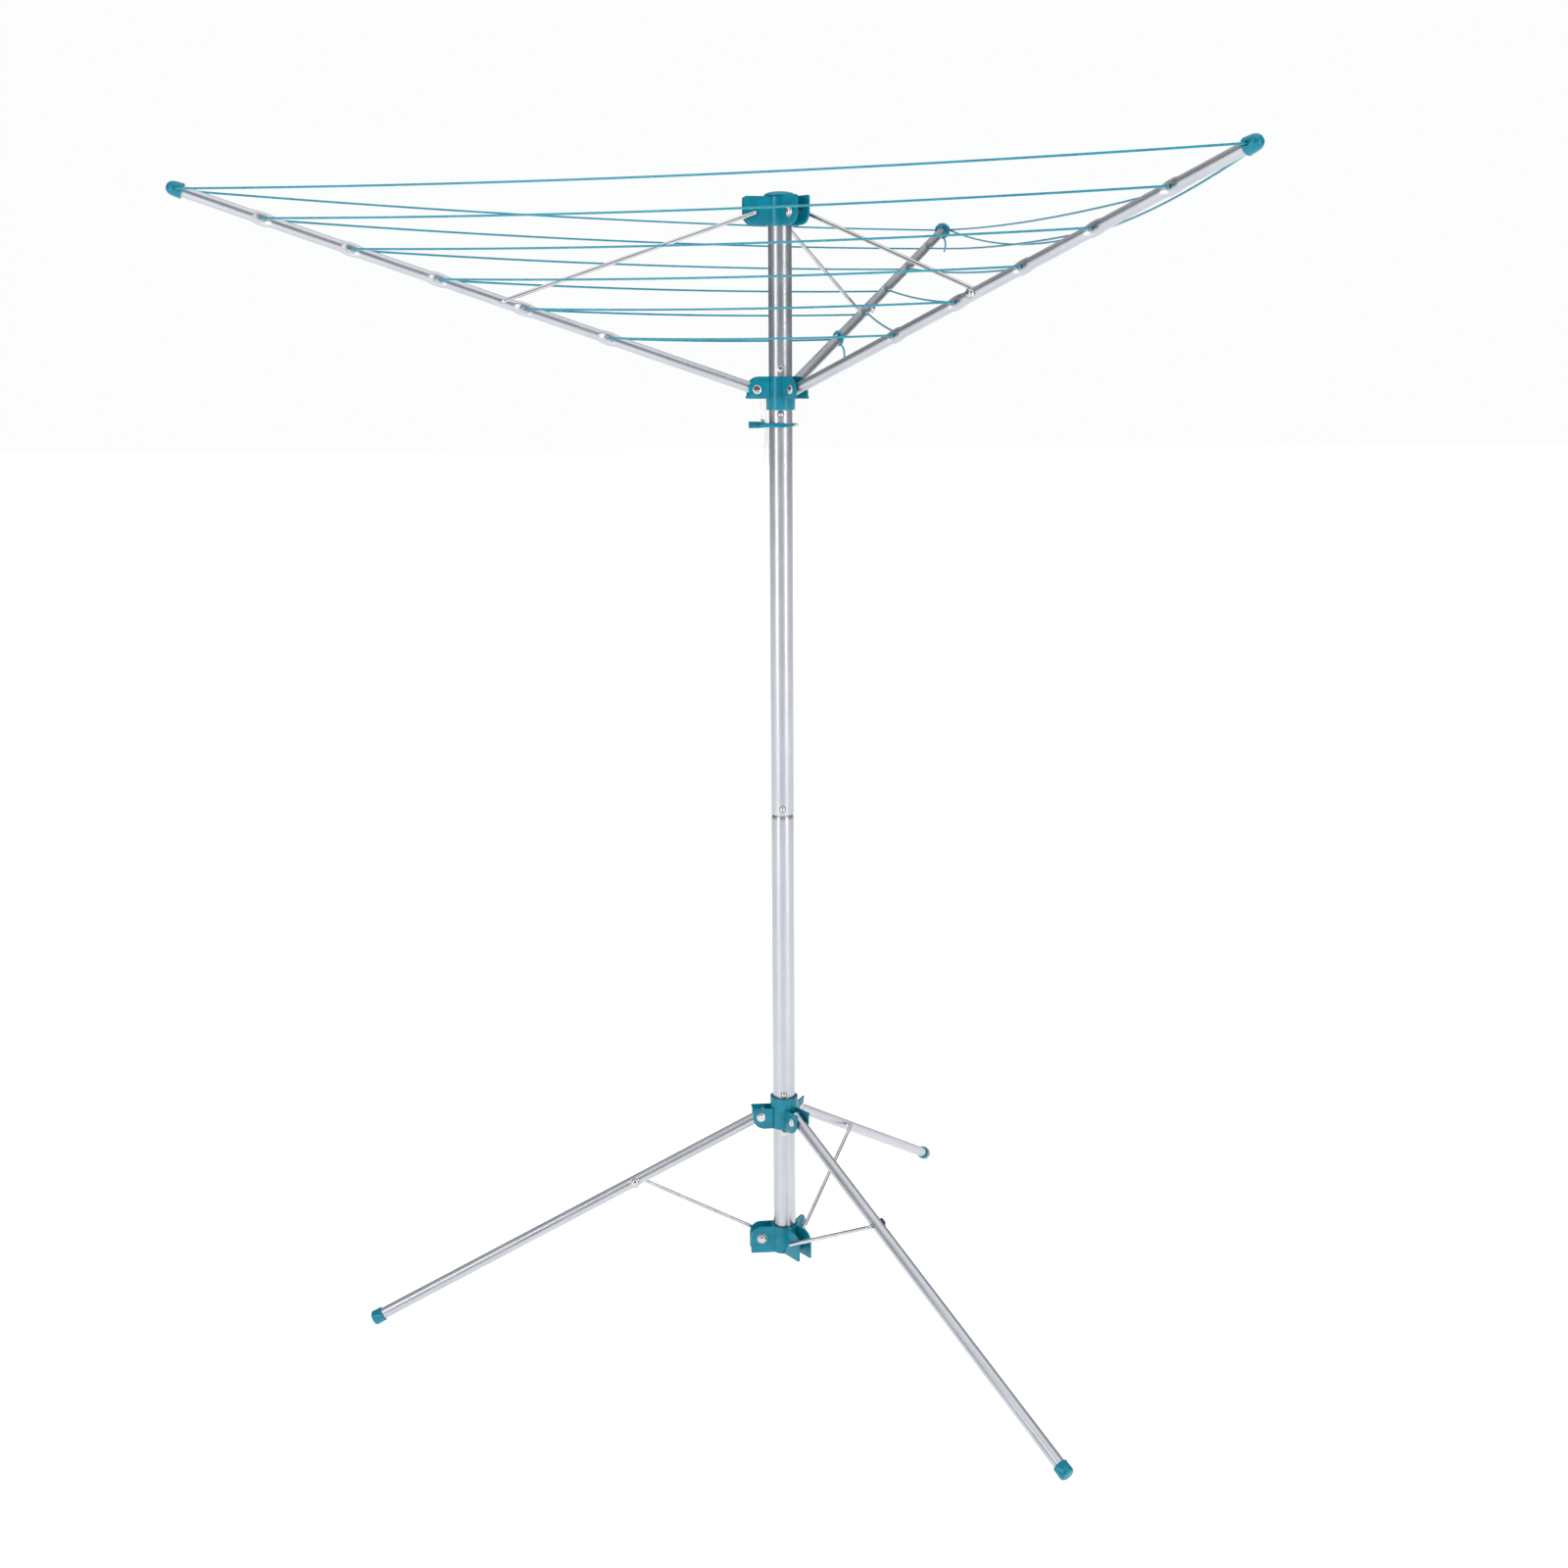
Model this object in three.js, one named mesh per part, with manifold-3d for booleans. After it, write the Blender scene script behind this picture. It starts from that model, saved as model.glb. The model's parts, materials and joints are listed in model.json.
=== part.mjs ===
// A three-armed rotary clothesline on a folding tripod. Millimetres, +Z up, origin on the ground under the pole.
import * as THREE from "three";
import { mergeVertices } from "three/addons/utils/BufferGeometryUtils.js";
import Module from "manifold-3d";

const wasm = await Module();
wasm.setup();

// ---------------------------------------------------------------- driving sizes
const GAP = 0.3; // between pieces that touch
const BRANCHES = 3; // arms, and legs

const POLE_R = 16; // outside of both pole sections
const POLE_WALL = 1.4;
const HUB_PIVOT_Z = 1558.4; // the top hub's rod pivots
const SEAM_Z = 728.5; // where the pole sections meet

const PIVOT_OUT = 18; // every pivot's distance from the pole's wall
const HEAD_AZ = 189.15; // direction of the first arm, degrees
const BASE_AZ = 185.75; // direction of the first leg, degrees
const FRONT_AZ = 270; // the side with the buttons

const ARM_RISE = 19.1; // degrees above the horizontal
const ARM_R = 7.5;
const ARM_WALL = 1.2;
const ARM_JOINT = 361; // from its pivot to the rod's pivot
const FIRST_HOLE = 212.5; // from its pivot to the innermost line hole
const HOLE_PITCH = 118.15;
const EYELETS = 5;
const ARM_TIP = 811; // from its pivot to the end of the tip cap

const LEG_DROP = 26.66; // degrees below the horizontal
const LEG_R = 8;
const LEG_WALL = 1.2;
const LEG_JOINT = 203.3; // from its pivot to the stay's pivot
const LEG_TUBE = 607.4; // from its pivot to where the foot starts
const FOOT_R = 10.2;
const FOOT_REACH = 10.1; // from the foot's rim to the centre of its round end

const ROD_R = 2.8;

const LINE_R = 1.4;
const LINE_SAG = 0.007; // of a run's length
const LAST_SAG = 0.042; // of the slack last run

const PIN_DROP = 48.35; // the locking pin's middle, below the arms' pivots
const PIN_R = 2.3;

// ---------------------------------------------------------------- sizes that follow
const PIVOT_R = POLE_R + PIVOT_OUT;
const EAR_IN = LEG_R + 0.7; // half the gap between a pair of ears
const EAR_OUT = EAR_IN + 3;
const ROD_BEND = 4.5;
const ROD_SIDE = EAR_OUT + ROD_BEND + 0.3; // the rods run this far beside the plane of their arm
const END_EAR = PIVOT_R + 16; // radius that the end hubs' ears reach
const END_UP = 22; // from the pivots to the closed end's face
const END_DOWN = 17; // from the pivots to the open end
const SOCKET_R = POLE_R + 3.5;
const SLIDE_EAR = PIVOT_R + 11.5;
const SLIDE_UP = 17.5;
const SLIDE_YOKE = 12.5; // from the pivots down to the yoke's flat edge
const SLIDE_DOWN = 28;
const SLEEVE_R = POLE_R + 3.9;
const SLEEVE_BORE = POLE_R + 0.8;
const RELIEF_R = POLE_R + 2.9; // room for a button inside the sleeve
const RIVET_R = 2.5;
const RIVET_HEAD = 6.6;
const SPIGOT_R = POLE_R - POLE_WALL - GAP;
const SPIGOT = 62; // how far the lower section goes into the upper
const BUTTON_R = 4.3;
const BUTTON_OUT = 2.4; // how far a button's dome stands out
const HOLE_R = LINE_R + 1;
const TIP_HOLE = ARM_TIP - 14; // the outermost line hole, in the tip cap
const TIP_R = ARM_R + 2.9;
const TIP_CAP = 21.5; // length of a tip cap
const STAR_R = 7.2; // push-on cap on a rod's end
const STAR_H = 4.5;

const rad = THREE.MathUtils.degToRad;
const ARM_PIVOT_Z = HUB_PIVOT_Z - 2 * ARM_JOINT * Math.sin(rad(ARM_RISE));
const LEG_PIVOT_Z =
  FOOT_R + (LEG_TUBE + FOOT_REACH) * Math.sin(rad(LEG_DROP));
const BASE_PIVOT_Z = LEG_PIVOT_Z - 2 * LEG_JOINT * Math.sin(rad(LEG_DROP));
const UPPER_STOP_Z = ARM_PIVOT_Z + SLIDE_UP + 10;
const PIN_Z = ARM_PIVOT_Z - PIN_DROP;
const SLIDE_BUTTON_Z = ARM_PIVOT_Z - SLIDE_DOWN - BUTTON_R - 1.2;
const LEG_BUTTON_Z = LEG_PIVOT_Z + SLIDE_DOWN + BUTTON_R + 1.2;
const LEG_STOP_Z = LEG_PIVOT_Z - SLIDE_UP - 6;
const JOINT_BUTTON_Z = SEAM_Z + 10;

// ---------------------------------------------------------------- materials
const material = (color, metalness, roughness) =>
  new THREE.MeshStandardMaterial({ color, metalness, roughness });
const ALUMINIUM = material(0xb4b8c2, 1, 0.35);
const STEEL = material(0xc9ccd2, 1, 0.2);
const TEAL = material(0x007d96, 0, 0.35);
const TEAL_CORD = material(0x0f93a8, 0, 0.5);
const WHITE_CORD = material(0xe9e9e2, 0, 0.8);

// ---------------------------------------------------------------- solids
// A geometry as a manifold-3d solid, facing out whichever way its profile ran.
function solid(geometry) {
  const bare = geometry.clone();
  bare.deleteAttribute("normal");
  bare.deleteAttribute("uv");
  const merged = mergeVertices(bare, 1e-4);
  const faces = [];
  for (let i = 0; i < merged.index.count; i += 3) {
    const [a, b, c] = [0, 1, 2].map((k) => merged.index.getX(i + k));
    if (a !== b && b !== c && c !== a) faces.push(a, b, c);
  }
  const build = (triangles) =>
    new wasm.Manifold(
      new wasm.Mesh({
        numProp: 3,
        vertProperties: new Float32Array(merged.attributes.position.array),
        triVerts: new Uint32Array(triangles),
      }),
    );
  const made = build(faces);
  return made.volume() > 0 ? made : build(faces.reverse());
}

const union = (...solids) => wasm.Manifold.union(solids);
const cut = (from, ...tools) => tools.reduce((s, t) => s.subtract(t), from);

// A named mesh from a manifold-3d solid.
function piece(name, made, look) {
  const m = made.getMesh();
  const xyz = new Float32Array(m.numVert * 3);
  for (let i = 0; i < m.numVert; i++)
    xyz.set(m.vertProperties.subarray(i * m.numProp, i * m.numProp + 3), i * 3);
  const geometry = new THREE.BufferGeometry();
  geometry.setAttribute("position", new THREE.BufferAttribute(xyz, 3));
  geometry.setIndex(new THREE.BufferAttribute(m.triVerts, 1));
  geometry.computeVertexNormals();
  const mesh = new THREE.Mesh(geometry, look);
  mesh.name = name;
  return mesh;
}

// A closed profile of [radius, height] corners turned about +Z.
function turned(profile, segments = 36) {
  const points = [...profile, profile[0]].map(([r, z]) => new THREE.Vector2(r, z));
  return new THREE.LatheGeometry(points, segments).rotateX(Math.PI / 2);
}

// The corners of a dome, from its rim up to the axis.
const domed = (r, base, height, steps = 5) =>
  Array.from({ length: steps + 1 }, (_, i) => {
    const t = ((steps - i) / steps) * (Math.PI / 2);
    return [i === steps ? 0 : r * Math.sin(t), base + height * Math.cos(t)];
  });

// An outline in X and Z, made solid between two distances along Y.
function plate(shape, y0, y1) {
  return new THREE.ExtrudeGeometry(shape, {
    depth: y1 - y0,
    bevelEnabled: false,
    curveSegments: 4,
  })
    .rotateX(Math.PI / 2)
    .translate(0, y1, 0);
}

// A straight rod along +Y from y0 to y1 at (x, z), used to cut holes too.
const crossRod = (r, y0, y1, x = 0, z = 0, segments = 14) =>
  new THREE.CylinderGeometry(r, r, y1 - y0, segments).translate(x, (y0 + y1) / 2, z);

// Points joined by straight lines, with a section at every point.
class Polyline extends THREE.Curve {
  constructor(points) {
    super();
    this.points = points;
  }
  getPoint(t, target = new THREE.Vector3()) {
    const at = t * (this.points.length - 1);
    const i = Math.min(Math.floor(at + 1e-9), this.points.length - 2);
    return target.lerpVectors(this.points[i], this.points[i + 1], at - i);
  }
  getPointAt(u, target) {
    return this.getPoint(u, target);
  }
  getTangentAt(u, target = new THREE.Vector3()) {
    const n = this.points.length - 1;
    const i = Math.round(u * n);
    const before = this.points[Math.max(i - 1, 0)];
    const after = this.points[Math.min(i + 1, n)];
    return target.subVectors(after, before).normalize();
  }
}

// A round tube through points, with an even number of sides.
function swept(points, r, sides = 10) {
  const section = new THREE.Shape();
  section.absarc(0, 0, r, 0, 2 * Math.PI, false);
  return new THREE.ExtrudeGeometry(section, {
    steps: points.length - 1,
    curveSegments: sides / 2,
    bevelEnabled: false,
    extrudePath: new Polyline(points),
  });
}

// The corner points of a path, each inner corner rounded to radius r.
function rounded(corners, r, steps = 5) {
  const out = [corners[0]];
  for (let i = 1; i < corners.length - 1; i++) {
    const [a, b, c] = corners.slice(i - 1, i + 2);
    const before = a.clone().sub(b).setLength(r).add(b);
    const after = c.clone().sub(b).setLength(r).add(b);
    const curve = new THREE.QuadraticBezierCurve3(before, b, after);
    out.push(...curve.getPoints(steps));
  }
  return [...out, corners.at(-1)];
}

// ---------------------------------------------------------------- frames
const azimuths = (first) =>
  Array.from({ length: BRANCHES }, (_, i) => first + (i * 360) / BRANCHES);
const ARM_AZ = azimuths(HEAD_AZ);
const LEG_AZ = azimuths(BASE_AZ);

const about = (geometry, az) => geometry.rotateZ(rad(az));

// Puts a geometry made along +X from its pivot onto a pivot at height z, tilted up by some degrees.
const onPivot = (geometry, az, z, rise) =>
  about(geometry.rotateY(-rad(rise)).translate(PIVOT_R, 0, z), az);

// ---------------------------------------------------------------- mouldings
// One outline of an end hub's ear, with the pivot at the origin's height: square by the closed end, round by the open end.
function endEar() {
  const s = new THREE.Shape();
  const r = 16;
  const x0 = Math.sqrt((POLE_R + 0.9) ** 2 - EAR_IN ** 2); // inside the socket's wall
  s.moveTo(x0, -END_DOWN);
  s.lineTo(END_EAR - r, -END_DOWN);
  s.absarc(END_EAR - r, r - END_DOWN, r, -Math.PI / 2, 0, false);
  s.lineTo(END_EAR, END_UP - 2);
  s.absarc(END_EAR - 2, END_UP - 2, 2, 0, Math.PI / 2, false);
  s.lineTo(x0, END_UP);
  return s;
}

// One outline of a slide hub's ear: round above the pivot, flat below with a small lip.
function slideEar() {
  const s = new THREE.Shape();
  const r = SLIDE_UP - 1;
  const x0 = Math.sqrt(RELIEF_R ** 2 - EAR_IN ** 2) + 0.1; // inside the sleeve's wall
  s.moveTo(x0, -SLIDE_YOKE);
  s.lineTo(SLIDE_EAR + 1.5, -SLIDE_YOKE);
  s.lineTo(SLIDE_EAR + 1.5, -SLIDE_YOKE + 3);
  s.lineTo(SLIDE_EAR, -SLIDE_YOKE + 4.5);
  s.lineTo(SLIDE_EAR, SLIDE_UP - r);
  s.absarc(SLIDE_EAR - r, SLIDE_UP - r, r, 0, Math.PI / 2, false);
  s.lineTo(x0, SLIDE_UP);
  return s;
}

function ears(outline, az) {
  return [
    about(plate(outline, EAR_IN, EAR_OUT), az),
    about(plate(outline, -EAR_OUT, -EAR_IN), az),
  ].map(solid);
}

// A moulding with its pivots at height 0, for arms or legs in these directions.
function endHub(directions) {
  const socket = turned([
    [POLE_R + 0.4, -END_DOWN],
    [SOCKET_R, -END_DOWN],
    [SOCKET_R, END_UP],
    [POLE_R + 0.4, END_UP],
  ]);
  return cut(
    union(solid(socket), ...directions.flatMap((az) => ears(endEar(), az))),
    ...directions.map((az) =>
      solid(about(crossRod(ROD_R + GAP, -EAR_OUT - 1, EAR_OUT + 1, PIVOT_R), az)),
    ),
  );
}

function slideHub(directions) {
  const land = 4;
  const ramp = RELIEF_R - SLEEVE_BORE;
  const sleeve = turned([
    [SLEEVE_BORE, -SLIDE_DOWN],
    [SLEEVE_R, -SLIDE_DOWN],
    [SLEEVE_R, SLIDE_UP],
    [SLEEVE_BORE, SLIDE_UP],
    [SLEEVE_BORE, SLIDE_UP - land],
    [RELIEF_R, SLIDE_UP - land - ramp],
    [RELIEF_R, -SLIDE_DOWN + land + ramp],
    [SLEEVE_BORE, -SLIDE_DOWN + land],
  ]);
  return cut(
    union(solid(sleeve), ...directions.flatMap((az) => ears(slideEar(), az))),
    ...directions.map((az) =>
      solid(about(crossRod(RIVET_R + GAP, -EAR_OUT - 1, EAR_OUT + 1, PIVOT_R), az)),
    ),
  );
}

// The same moulding turned upside down keeps its directions when they are mirrored first.
const upsideDown = (made) => made.rotate([180, 0, 0]);
const mirrored = (directions) => directions.map((az) => -az);

// ---------------------------------------------------------------- tubes
// A solid bar along +X whose section is pressed flat and tall at each eyelet. Inset makes the bar that its bore is cut with.
function eyeletBar(x0, x1, r, inset, eyelets, sides) {
  const flat = 0.64; // width at an eyelet, of the round width
  const tall = 1.22;
  const reach = 15;
  const steps = inset ? [-1, -0.28, 0.28, 1] : [-1, -0.6, -0.28, 0.28, 0.6, 1];
  const stations = [x0, x1, ...eyelets.flatMap((e) => steps.map((d) => e + d * reach))];
  stations.sort((a, b) => a - b);
  const press = (x) => {
    const near = Math.min(...eyelets.map((e) => Math.abs(x - e)), reach);
    return 1 - THREE.MathUtils.smoothstep(near, reach * 0.28, reach);
  };
  const positions = [];
  const index = [];
  stations.forEach((x, k) => {
    const wide = r * (1 + (flat - 1) * press(x)) - inset;
    const high = r * (1 + (tall - 1) * press(x)) - inset;
    for (let i = 0; i < sides; i++) {
      const t = (2 * Math.PI * (i + 0.5)) / sides;
      positions.push(x, wide * Math.cos(t), high * Math.sin(t));
      if (!k) continue;
      const [a, b] = [i, (i + 1) % sides].map((v) => (k - 1) * sides + v);
      index.push(a, b, b + sides, a, b + sides, a + sides);
    }
  });
  const end = (stations.length - 1) * sides;
  for (let i = 1; i < sides - 1; i++)
    index.push(0, i + 1, i, end, end + i, end + i + 1);
  const g = new THREE.BufferGeometry();
  g.setAttribute(
    "position",
    new THREE.BufferAttribute(new Float32Array(positions), 3),
  );
  g.setIndex(index);
  return solid(g);
}

// A tube with that section, open at both ends.
const eyeletTube = (x0, x1, r, wall, eyelets, sides) =>
  eyeletBar(x0, x1, r, 0, eyelets, sides).subtract(
    eyeletBar(x0 - 1, x1 + 1, r, wall, eyelets, sides - 4),
  );

const holeAlong = (xs, r, half, sides = 10) =>
  xs.map((x) => solid(crossRod(r, -half, half, x, 0, sides)));

const lineHoles = Array.from(
  { length: EYELETS },
  (_, i) => FIRST_HOLE + i * HOLE_PITCH,
);

const tilted = (made, az, z, rise) =>
  made.rotate([0, -rise, 0]).translate([PIVOT_R, 0, z]).rotate([0, 0, az]);

function arm() {
  return cut(
    eyeletTube(-9, ARM_TIP - 6.5, ARM_R, ARM_WALL, lineHoles, 12),
    ...holeAlong([0], RIVET_R + GAP, ARM_R + 3),
    ...holeAlong([ARM_JOINT], ROD_R + GAP, ARM_R + 3),
    ...holeAlong([...lineHoles, TIP_HOLE], HOLE_R, ARM_R + 3, 6),
  );
}

function leg() {
  return cut(
    eyeletTube(-9, LEG_TUBE + 6, LEG_R, LEG_WALL, [], 20),
    ...holeAlong([0], RIVET_R + GAP, LEG_R + 3),
    ...holeAlong([LEG_JOINT], ROD_R + GAP, LEG_R + 3),
  );
}

// A thimble along +X over a tube's end: a straight skirt, a round end, and a blind bore.
function thimble(x0, x1, bore, r, depth) {
  const round = Math.min(r, x1 - x0 - 2);
  return turned(
    [
      [bore, x0],
      [r - 0.5, x0],
      [r, x0 + 0.8],
      ...domed(r, x1 - round, round),
      [0, x0 + depth],
      [bore, x0 + depth],
    ],
    16,
  ).rotateY(Math.PI / 2);
}

const tipCap = () =>
  cut(
    solid(
      thimble(ARM_TIP - TIP_CAP, ARM_TIP, ARM_R + GAP, TIP_R, TIP_CAP - 6.2),
    ),
    ...holeAlong([TIP_HOLE], HOLE_R, TIP_R + 3, 6),
  );

const foot = () =>
  solid(
    thimble(
      LEG_TUBE,
      LEG_TUBE + FOOT_REACH + FOOT_R,
      LEG_R + GAP,
      FOOT_R,
      6 + GAP,
    ),
  );

// ---------------------------------------------------------------- rods and fasteners
// A rod with both ends bent square through its two parts. It runs on one side (+1 or -1) of its arm's plane.
function rod(length, side, tubeR) {
  const at = (x, y) => new THREE.Vector3(x, side * y, 0);
  return swept(
    rounded(
      [
        at(0, -EAR_OUT - 3.3),
        at(0, ROD_SIDE),
        at(length, ROD_SIDE),
        at(length, -tubeR - 3.3),
      ],
      ROD_BEND,
    ),
    ROD_R,
  );
}

// A domed push-on cap whose flat side faces +Y (or -Y) at distance y, over a rod's end.
function starCap(x, y, side) {
  const depth = 3.3;
  return turned(
    [
      [ROD_R + GAP, 0],
      [STAR_R, 0],
      ...domed(STAR_R, 1, STAR_H - 1, 4),
      [0, depth],
      [ROD_R + GAP, depth],
    ],
    14,
  )
    .rotateX((side * Math.PI) / 2)
    .translate(x, y, 0);
}

// A pivot rivet along Y with a flat round head on each side of the ears.
const pivotRivet = () => {
  const end = EAR_OUT + GAP;
  return turned(
    [
      [0, -end - 1.6],
      [RIVET_HEAD - 0.8, -end - 1.6],
      [RIVET_HEAD, -end],
      [RIVET_R, -end],
      [RIVET_R, end],
      [RIVET_HEAD, end],
      [RIVET_HEAD - 0.8, end + 1.6],
      [0, end + 1.6],
    ],
    16,
  ).rotateX(Math.PI / 2);
};

// Along +X from the pole's axis: a snap button with a flange that stays inside a tube of radius inner.
const snapButton = (inner) => {
  const flange = BUTTON_R + 1.3;
  const face = Math.sqrt(inner * inner - flange * flange) - GAP;
  return turned(
    [
      [0, face - 3],
      [BUTTON_R - 1, face - 3],
      [BUTTON_R - 1, face - 1.2],
      [flange, face - 1.2],
      [flange, face],
      [BUTTON_R, face],
      [BUTTON_R, POLE_R - 0.6],
      ...domed(BUTTON_R, POLE_R - 0.6, BUTTON_OUT + 0.6, 4),
    ],
    18,
  ).rotateY(Math.PI / 2);
};

// Along +X: a fixed stop rivet, its head on the pole and its shank through the wall.
const stopRivet = () => {
  const head = 4.9;
  return turned(
    [
      [0, POLE_R - POLE_WALL - 2],
      [2, POLE_R - POLE_WALL - 2],
      [2, POLE_R + GAP],
      [head, POLE_R + GAP],
      ...domed(head, POLE_R + 0.8, 1.7, 4),
    ],
    18,
  ).rotateY(Math.PI / 2);
};

const radialHole = (r, z) =>
  solid(
    about(
      new THREE.CylinderGeometry(r, r, POLE_R + 4, 20)
        .rotateZ(Math.PI / 2)
        .translate((POLE_R + 4) / 2, 0, z),
      FRONT_AZ,
    ),
  );

// ---------------------------------------------------------------- pole
const POLE_TOP = HUB_PIVOT_Z + END_UP - 10;
const POLE_FOOT = BASE_PIVOT_Z - END_UP + 2;

const poleLower = cut(
  solid(
    turned(
      [
        [POLE_R - POLE_WALL, POLE_FOOT],
        [POLE_R, POLE_FOOT],
        [POLE_R, SEAM_Z - 6],
        [POLE_R - 0.35, SEAM_Z - 3.4],
        [POLE_R - 1, SEAM_Z - 1.4],
        [SPIGOT_R, SEAM_Z - 0.4],
        [SPIGOT_R, SEAM_Z + SPIGOT - 2],
        [SPIGOT_R - 0.7, SEAM_Z + SPIGOT],
        [SPIGOT_R - POLE_WALL, SEAM_Z + SPIGOT],
        [SPIGOT_R - POLE_WALL, SEAM_Z - 3],
        [POLE_R - POLE_WALL, SEAM_Z - 9],
      ],
      32,
    ),
  ),
  radialHole(BUTTON_R + GAP, JOINT_BUTTON_Z),
  radialHole(BUTTON_R + GAP, LEG_BUTTON_Z),
  radialHole(2 + GAP, LEG_STOP_Z),
);

const poleUpper = cut(
  solid(
    turned(
      [
        [POLE_R - POLE_WALL, SEAM_Z + GAP],
        [POLE_R, SEAM_Z + GAP],
        [POLE_R, POLE_TOP],
        [POLE_R - POLE_WALL, POLE_TOP],
      ],
      32,
    ),
  ),
  radialHole(BUTTON_R + GAP, JOINT_BUTTON_Z),
  radialHole(BUTTON_R + GAP, SLIDE_BUTTON_Z),
  radialHole(2 + GAP, UPPER_STOP_Z),
  solid(
    new THREE.CylinderGeometry(PIN_R + GAP, PIN_R + GAP, 3 * POLE_R, 20)
      .rotateZ(Math.PI / 2)
      .translate(0, 0, PIN_Z),
  ),
);

const hubCap = solid(
  turned(
    [
      [0, END_UP - 8],
      [POLE_R - 0.2, END_UP - 8],
      [POLE_R - 0.2, END_UP + GAP],
      [POLE_R + 5.2, END_UP + GAP],
      [POLE_R + 5.5, END_UP + 1.2],
      [POLE_R + 4.6, END_UP + 3.2],
      [POLE_R + 1, END_UP + 5],
      [POLE_R - 7, END_UP + 6.5],
      [0, END_UP + 7.2],
    ],
    32,
  ).translate(0, 0, HUB_PIVOT_Z),
);

// ---------------------------------------------------------------- locking pin and its tether
const pinShaft = solid(
  turned(
    [
      [0, -POLE_R - 14],
      [PIN_R, -POLE_R - 14],
      [PIN_R, POLE_R + 5.5],
      [0.8, POLE_R + 8.5],
      [0, POLE_R + 8.5],
    ],
    20,
  )
    .rotateY(Math.PI / 2)
    .translate(0, 0, PIN_Z),
);

const GRIP = -POLE_R - 9; // middle of the grip's bridge, along the pin
const EYE = [GRIP, -8, 6.6]; // the tether's eye, from the middle of the pin

// Handle round the shaft, a bridge to the front, a clip along the pole's front and an eye for the tether.
const pinGrip = (() => {
  const handle = turned(
    [
      [PIN_R + 0.25, -8],
      [0, -8],
      [0, -19],
      [4.6, -19],
      [5, -18],
      [4.5, -13.5],
      [5, -13],
      [5, -12.2],
      [4.4, -11.7],
      [4.4, -9.2],
      [5, -8.7],
      [5, -8],
      [4.4, -7.4],
      [4.2, 1],
      [3.6, 3],
      [PIN_R + 0.25, 3],
    ],
    16,
  )
    .rotateY(Math.PI / 2)
    .translate(GRIP, 0, 0);
  const front = -(POLE_R + 0.6);
  const clip = new THREE.Shape();
  clip.moveTo(GRIP - 1, -3);
  clip.lineTo(4 - POLE_R, -2.9);
  clip.lineTo(POLE_R - 10, -3.1);
  clip.lineTo(POLE_R - 1, -2);
  clip.lineTo(POLE_R + 2, -1.3);
  clip.lineTo(POLE_R + 2, 0.9);
  clip.lineTo(POLE_R - 1, 1.4);
  clip.lineTo(POLE_R - 10, 2.4);
  clip.lineTo(4 - POLE_R, 3);
  clip.lineTo(GRIP - 1, 3.2);
  const bridge = new THREE.BoxGeometry(6, POLE_R - 2.2, 5.6).translate(
    GRIP,
    -(POLE_R + 4.2) / 2 - 0.6,
    0,
  );
  const eye = new THREE.TorusGeometry(2.2, 0.9, 6, 14)
    .rotateX(Math.PI / 2)
    .translate(...EYE);
  const post = new THREE.BoxGeometry(2.2, 1.6, 3.2).translate(EYE[0], EYE[1], 3.6);
  return union(
    solid(handle),
    solid(plate(clip, front - 2.8, front)),
    solid(bridge),
    solid(eye),
    solid(post),
  ).translate([0, 0, PIN_Z]);
})();

// From under the slider's first front ear through the pin's eye, down beside the pole in a loop, and back up.
const tetherPath = (() => {
  const top = ARM_PIVOT_Z - SLIDE_YOKE - GAP;
  const underEar = (reach, down) =>
    new THREE.Vector3(reach, (EAR_IN + EAR_OUT) / 2, top - down).applyAxisAngle(
      new THREE.Vector3(0, 0, 1),
      rad(HEAD_AZ),
    );
  const [x, y, z] = EYE;
  const byPin = (...p) => new THREE.Vector3(p[0], p[1], PIN_Z + p[2]);
  const byPole = (out, ...p) => byPin(-POLE_R - out, ...p);
  const points = [
    underEar(29.5, 0),
    underEar(29.3, 6),
    byPin(x - 0.6, y - 4.6, z + 4.4),
    byPin(x, y - 2.4, z + 0.8),
    byPin(x, y, z),
    byPin(x + 0.6, y + 2.6, z - 0.4),
    byPin(x + 3.6, y + 2.8, z - 3.2),
    byPole(4.5, -5.2, -5),
    byPole(5.2, -6.2, -20),
    byPole(6, -8, -40),
    byPole(5.3, -8.6, -54),
    byPole(3.2, -9, -60),
    byPole(1.6, -9.2, -55),
    byPole(0.8, -9, -40),
    byPole(1.4, -9, -22),
    byPole(2.6, -9, -5),
    byPole(3.3, -9.4, 4),
    byPole(4.6, -11.2, 12),
    underEar(24.3, 6),
    underEar(24, 0),
  ];
  return new THREE.CatmullRomCurve3(points).getPoints(42);
})();

// ---------------------------------------------------------------- clothes line
// Holes from the tip inwards, as distances along an arm.
const courses = [TIP_HOLE, ...lineHoles.toReversed()];

function lineHole(branch, course, along = 0) {
  const az = rad(ARM_AZ[branch]);
  const out = PIVOT_R + courses[course] * Math.cos(rad(ARM_RISE));
  const z = ARM_PIVOT_Z + courses[course] * Math.sin(rad(ARM_RISE));
  return new THREE.Vector3(
    out * Math.cos(az) - along * Math.sin(az),
    out * Math.sin(az) + along * Math.cos(az),
    z,
  );
}

// The stops of the spiral: from the third arm's innermost hole, turn by turn, to its tip.
const stops = [];
for (let course = EYELETS; course >= 0; course--)
  for (const branch of [2, 0, 1]) stops.push([branch, course]);

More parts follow.
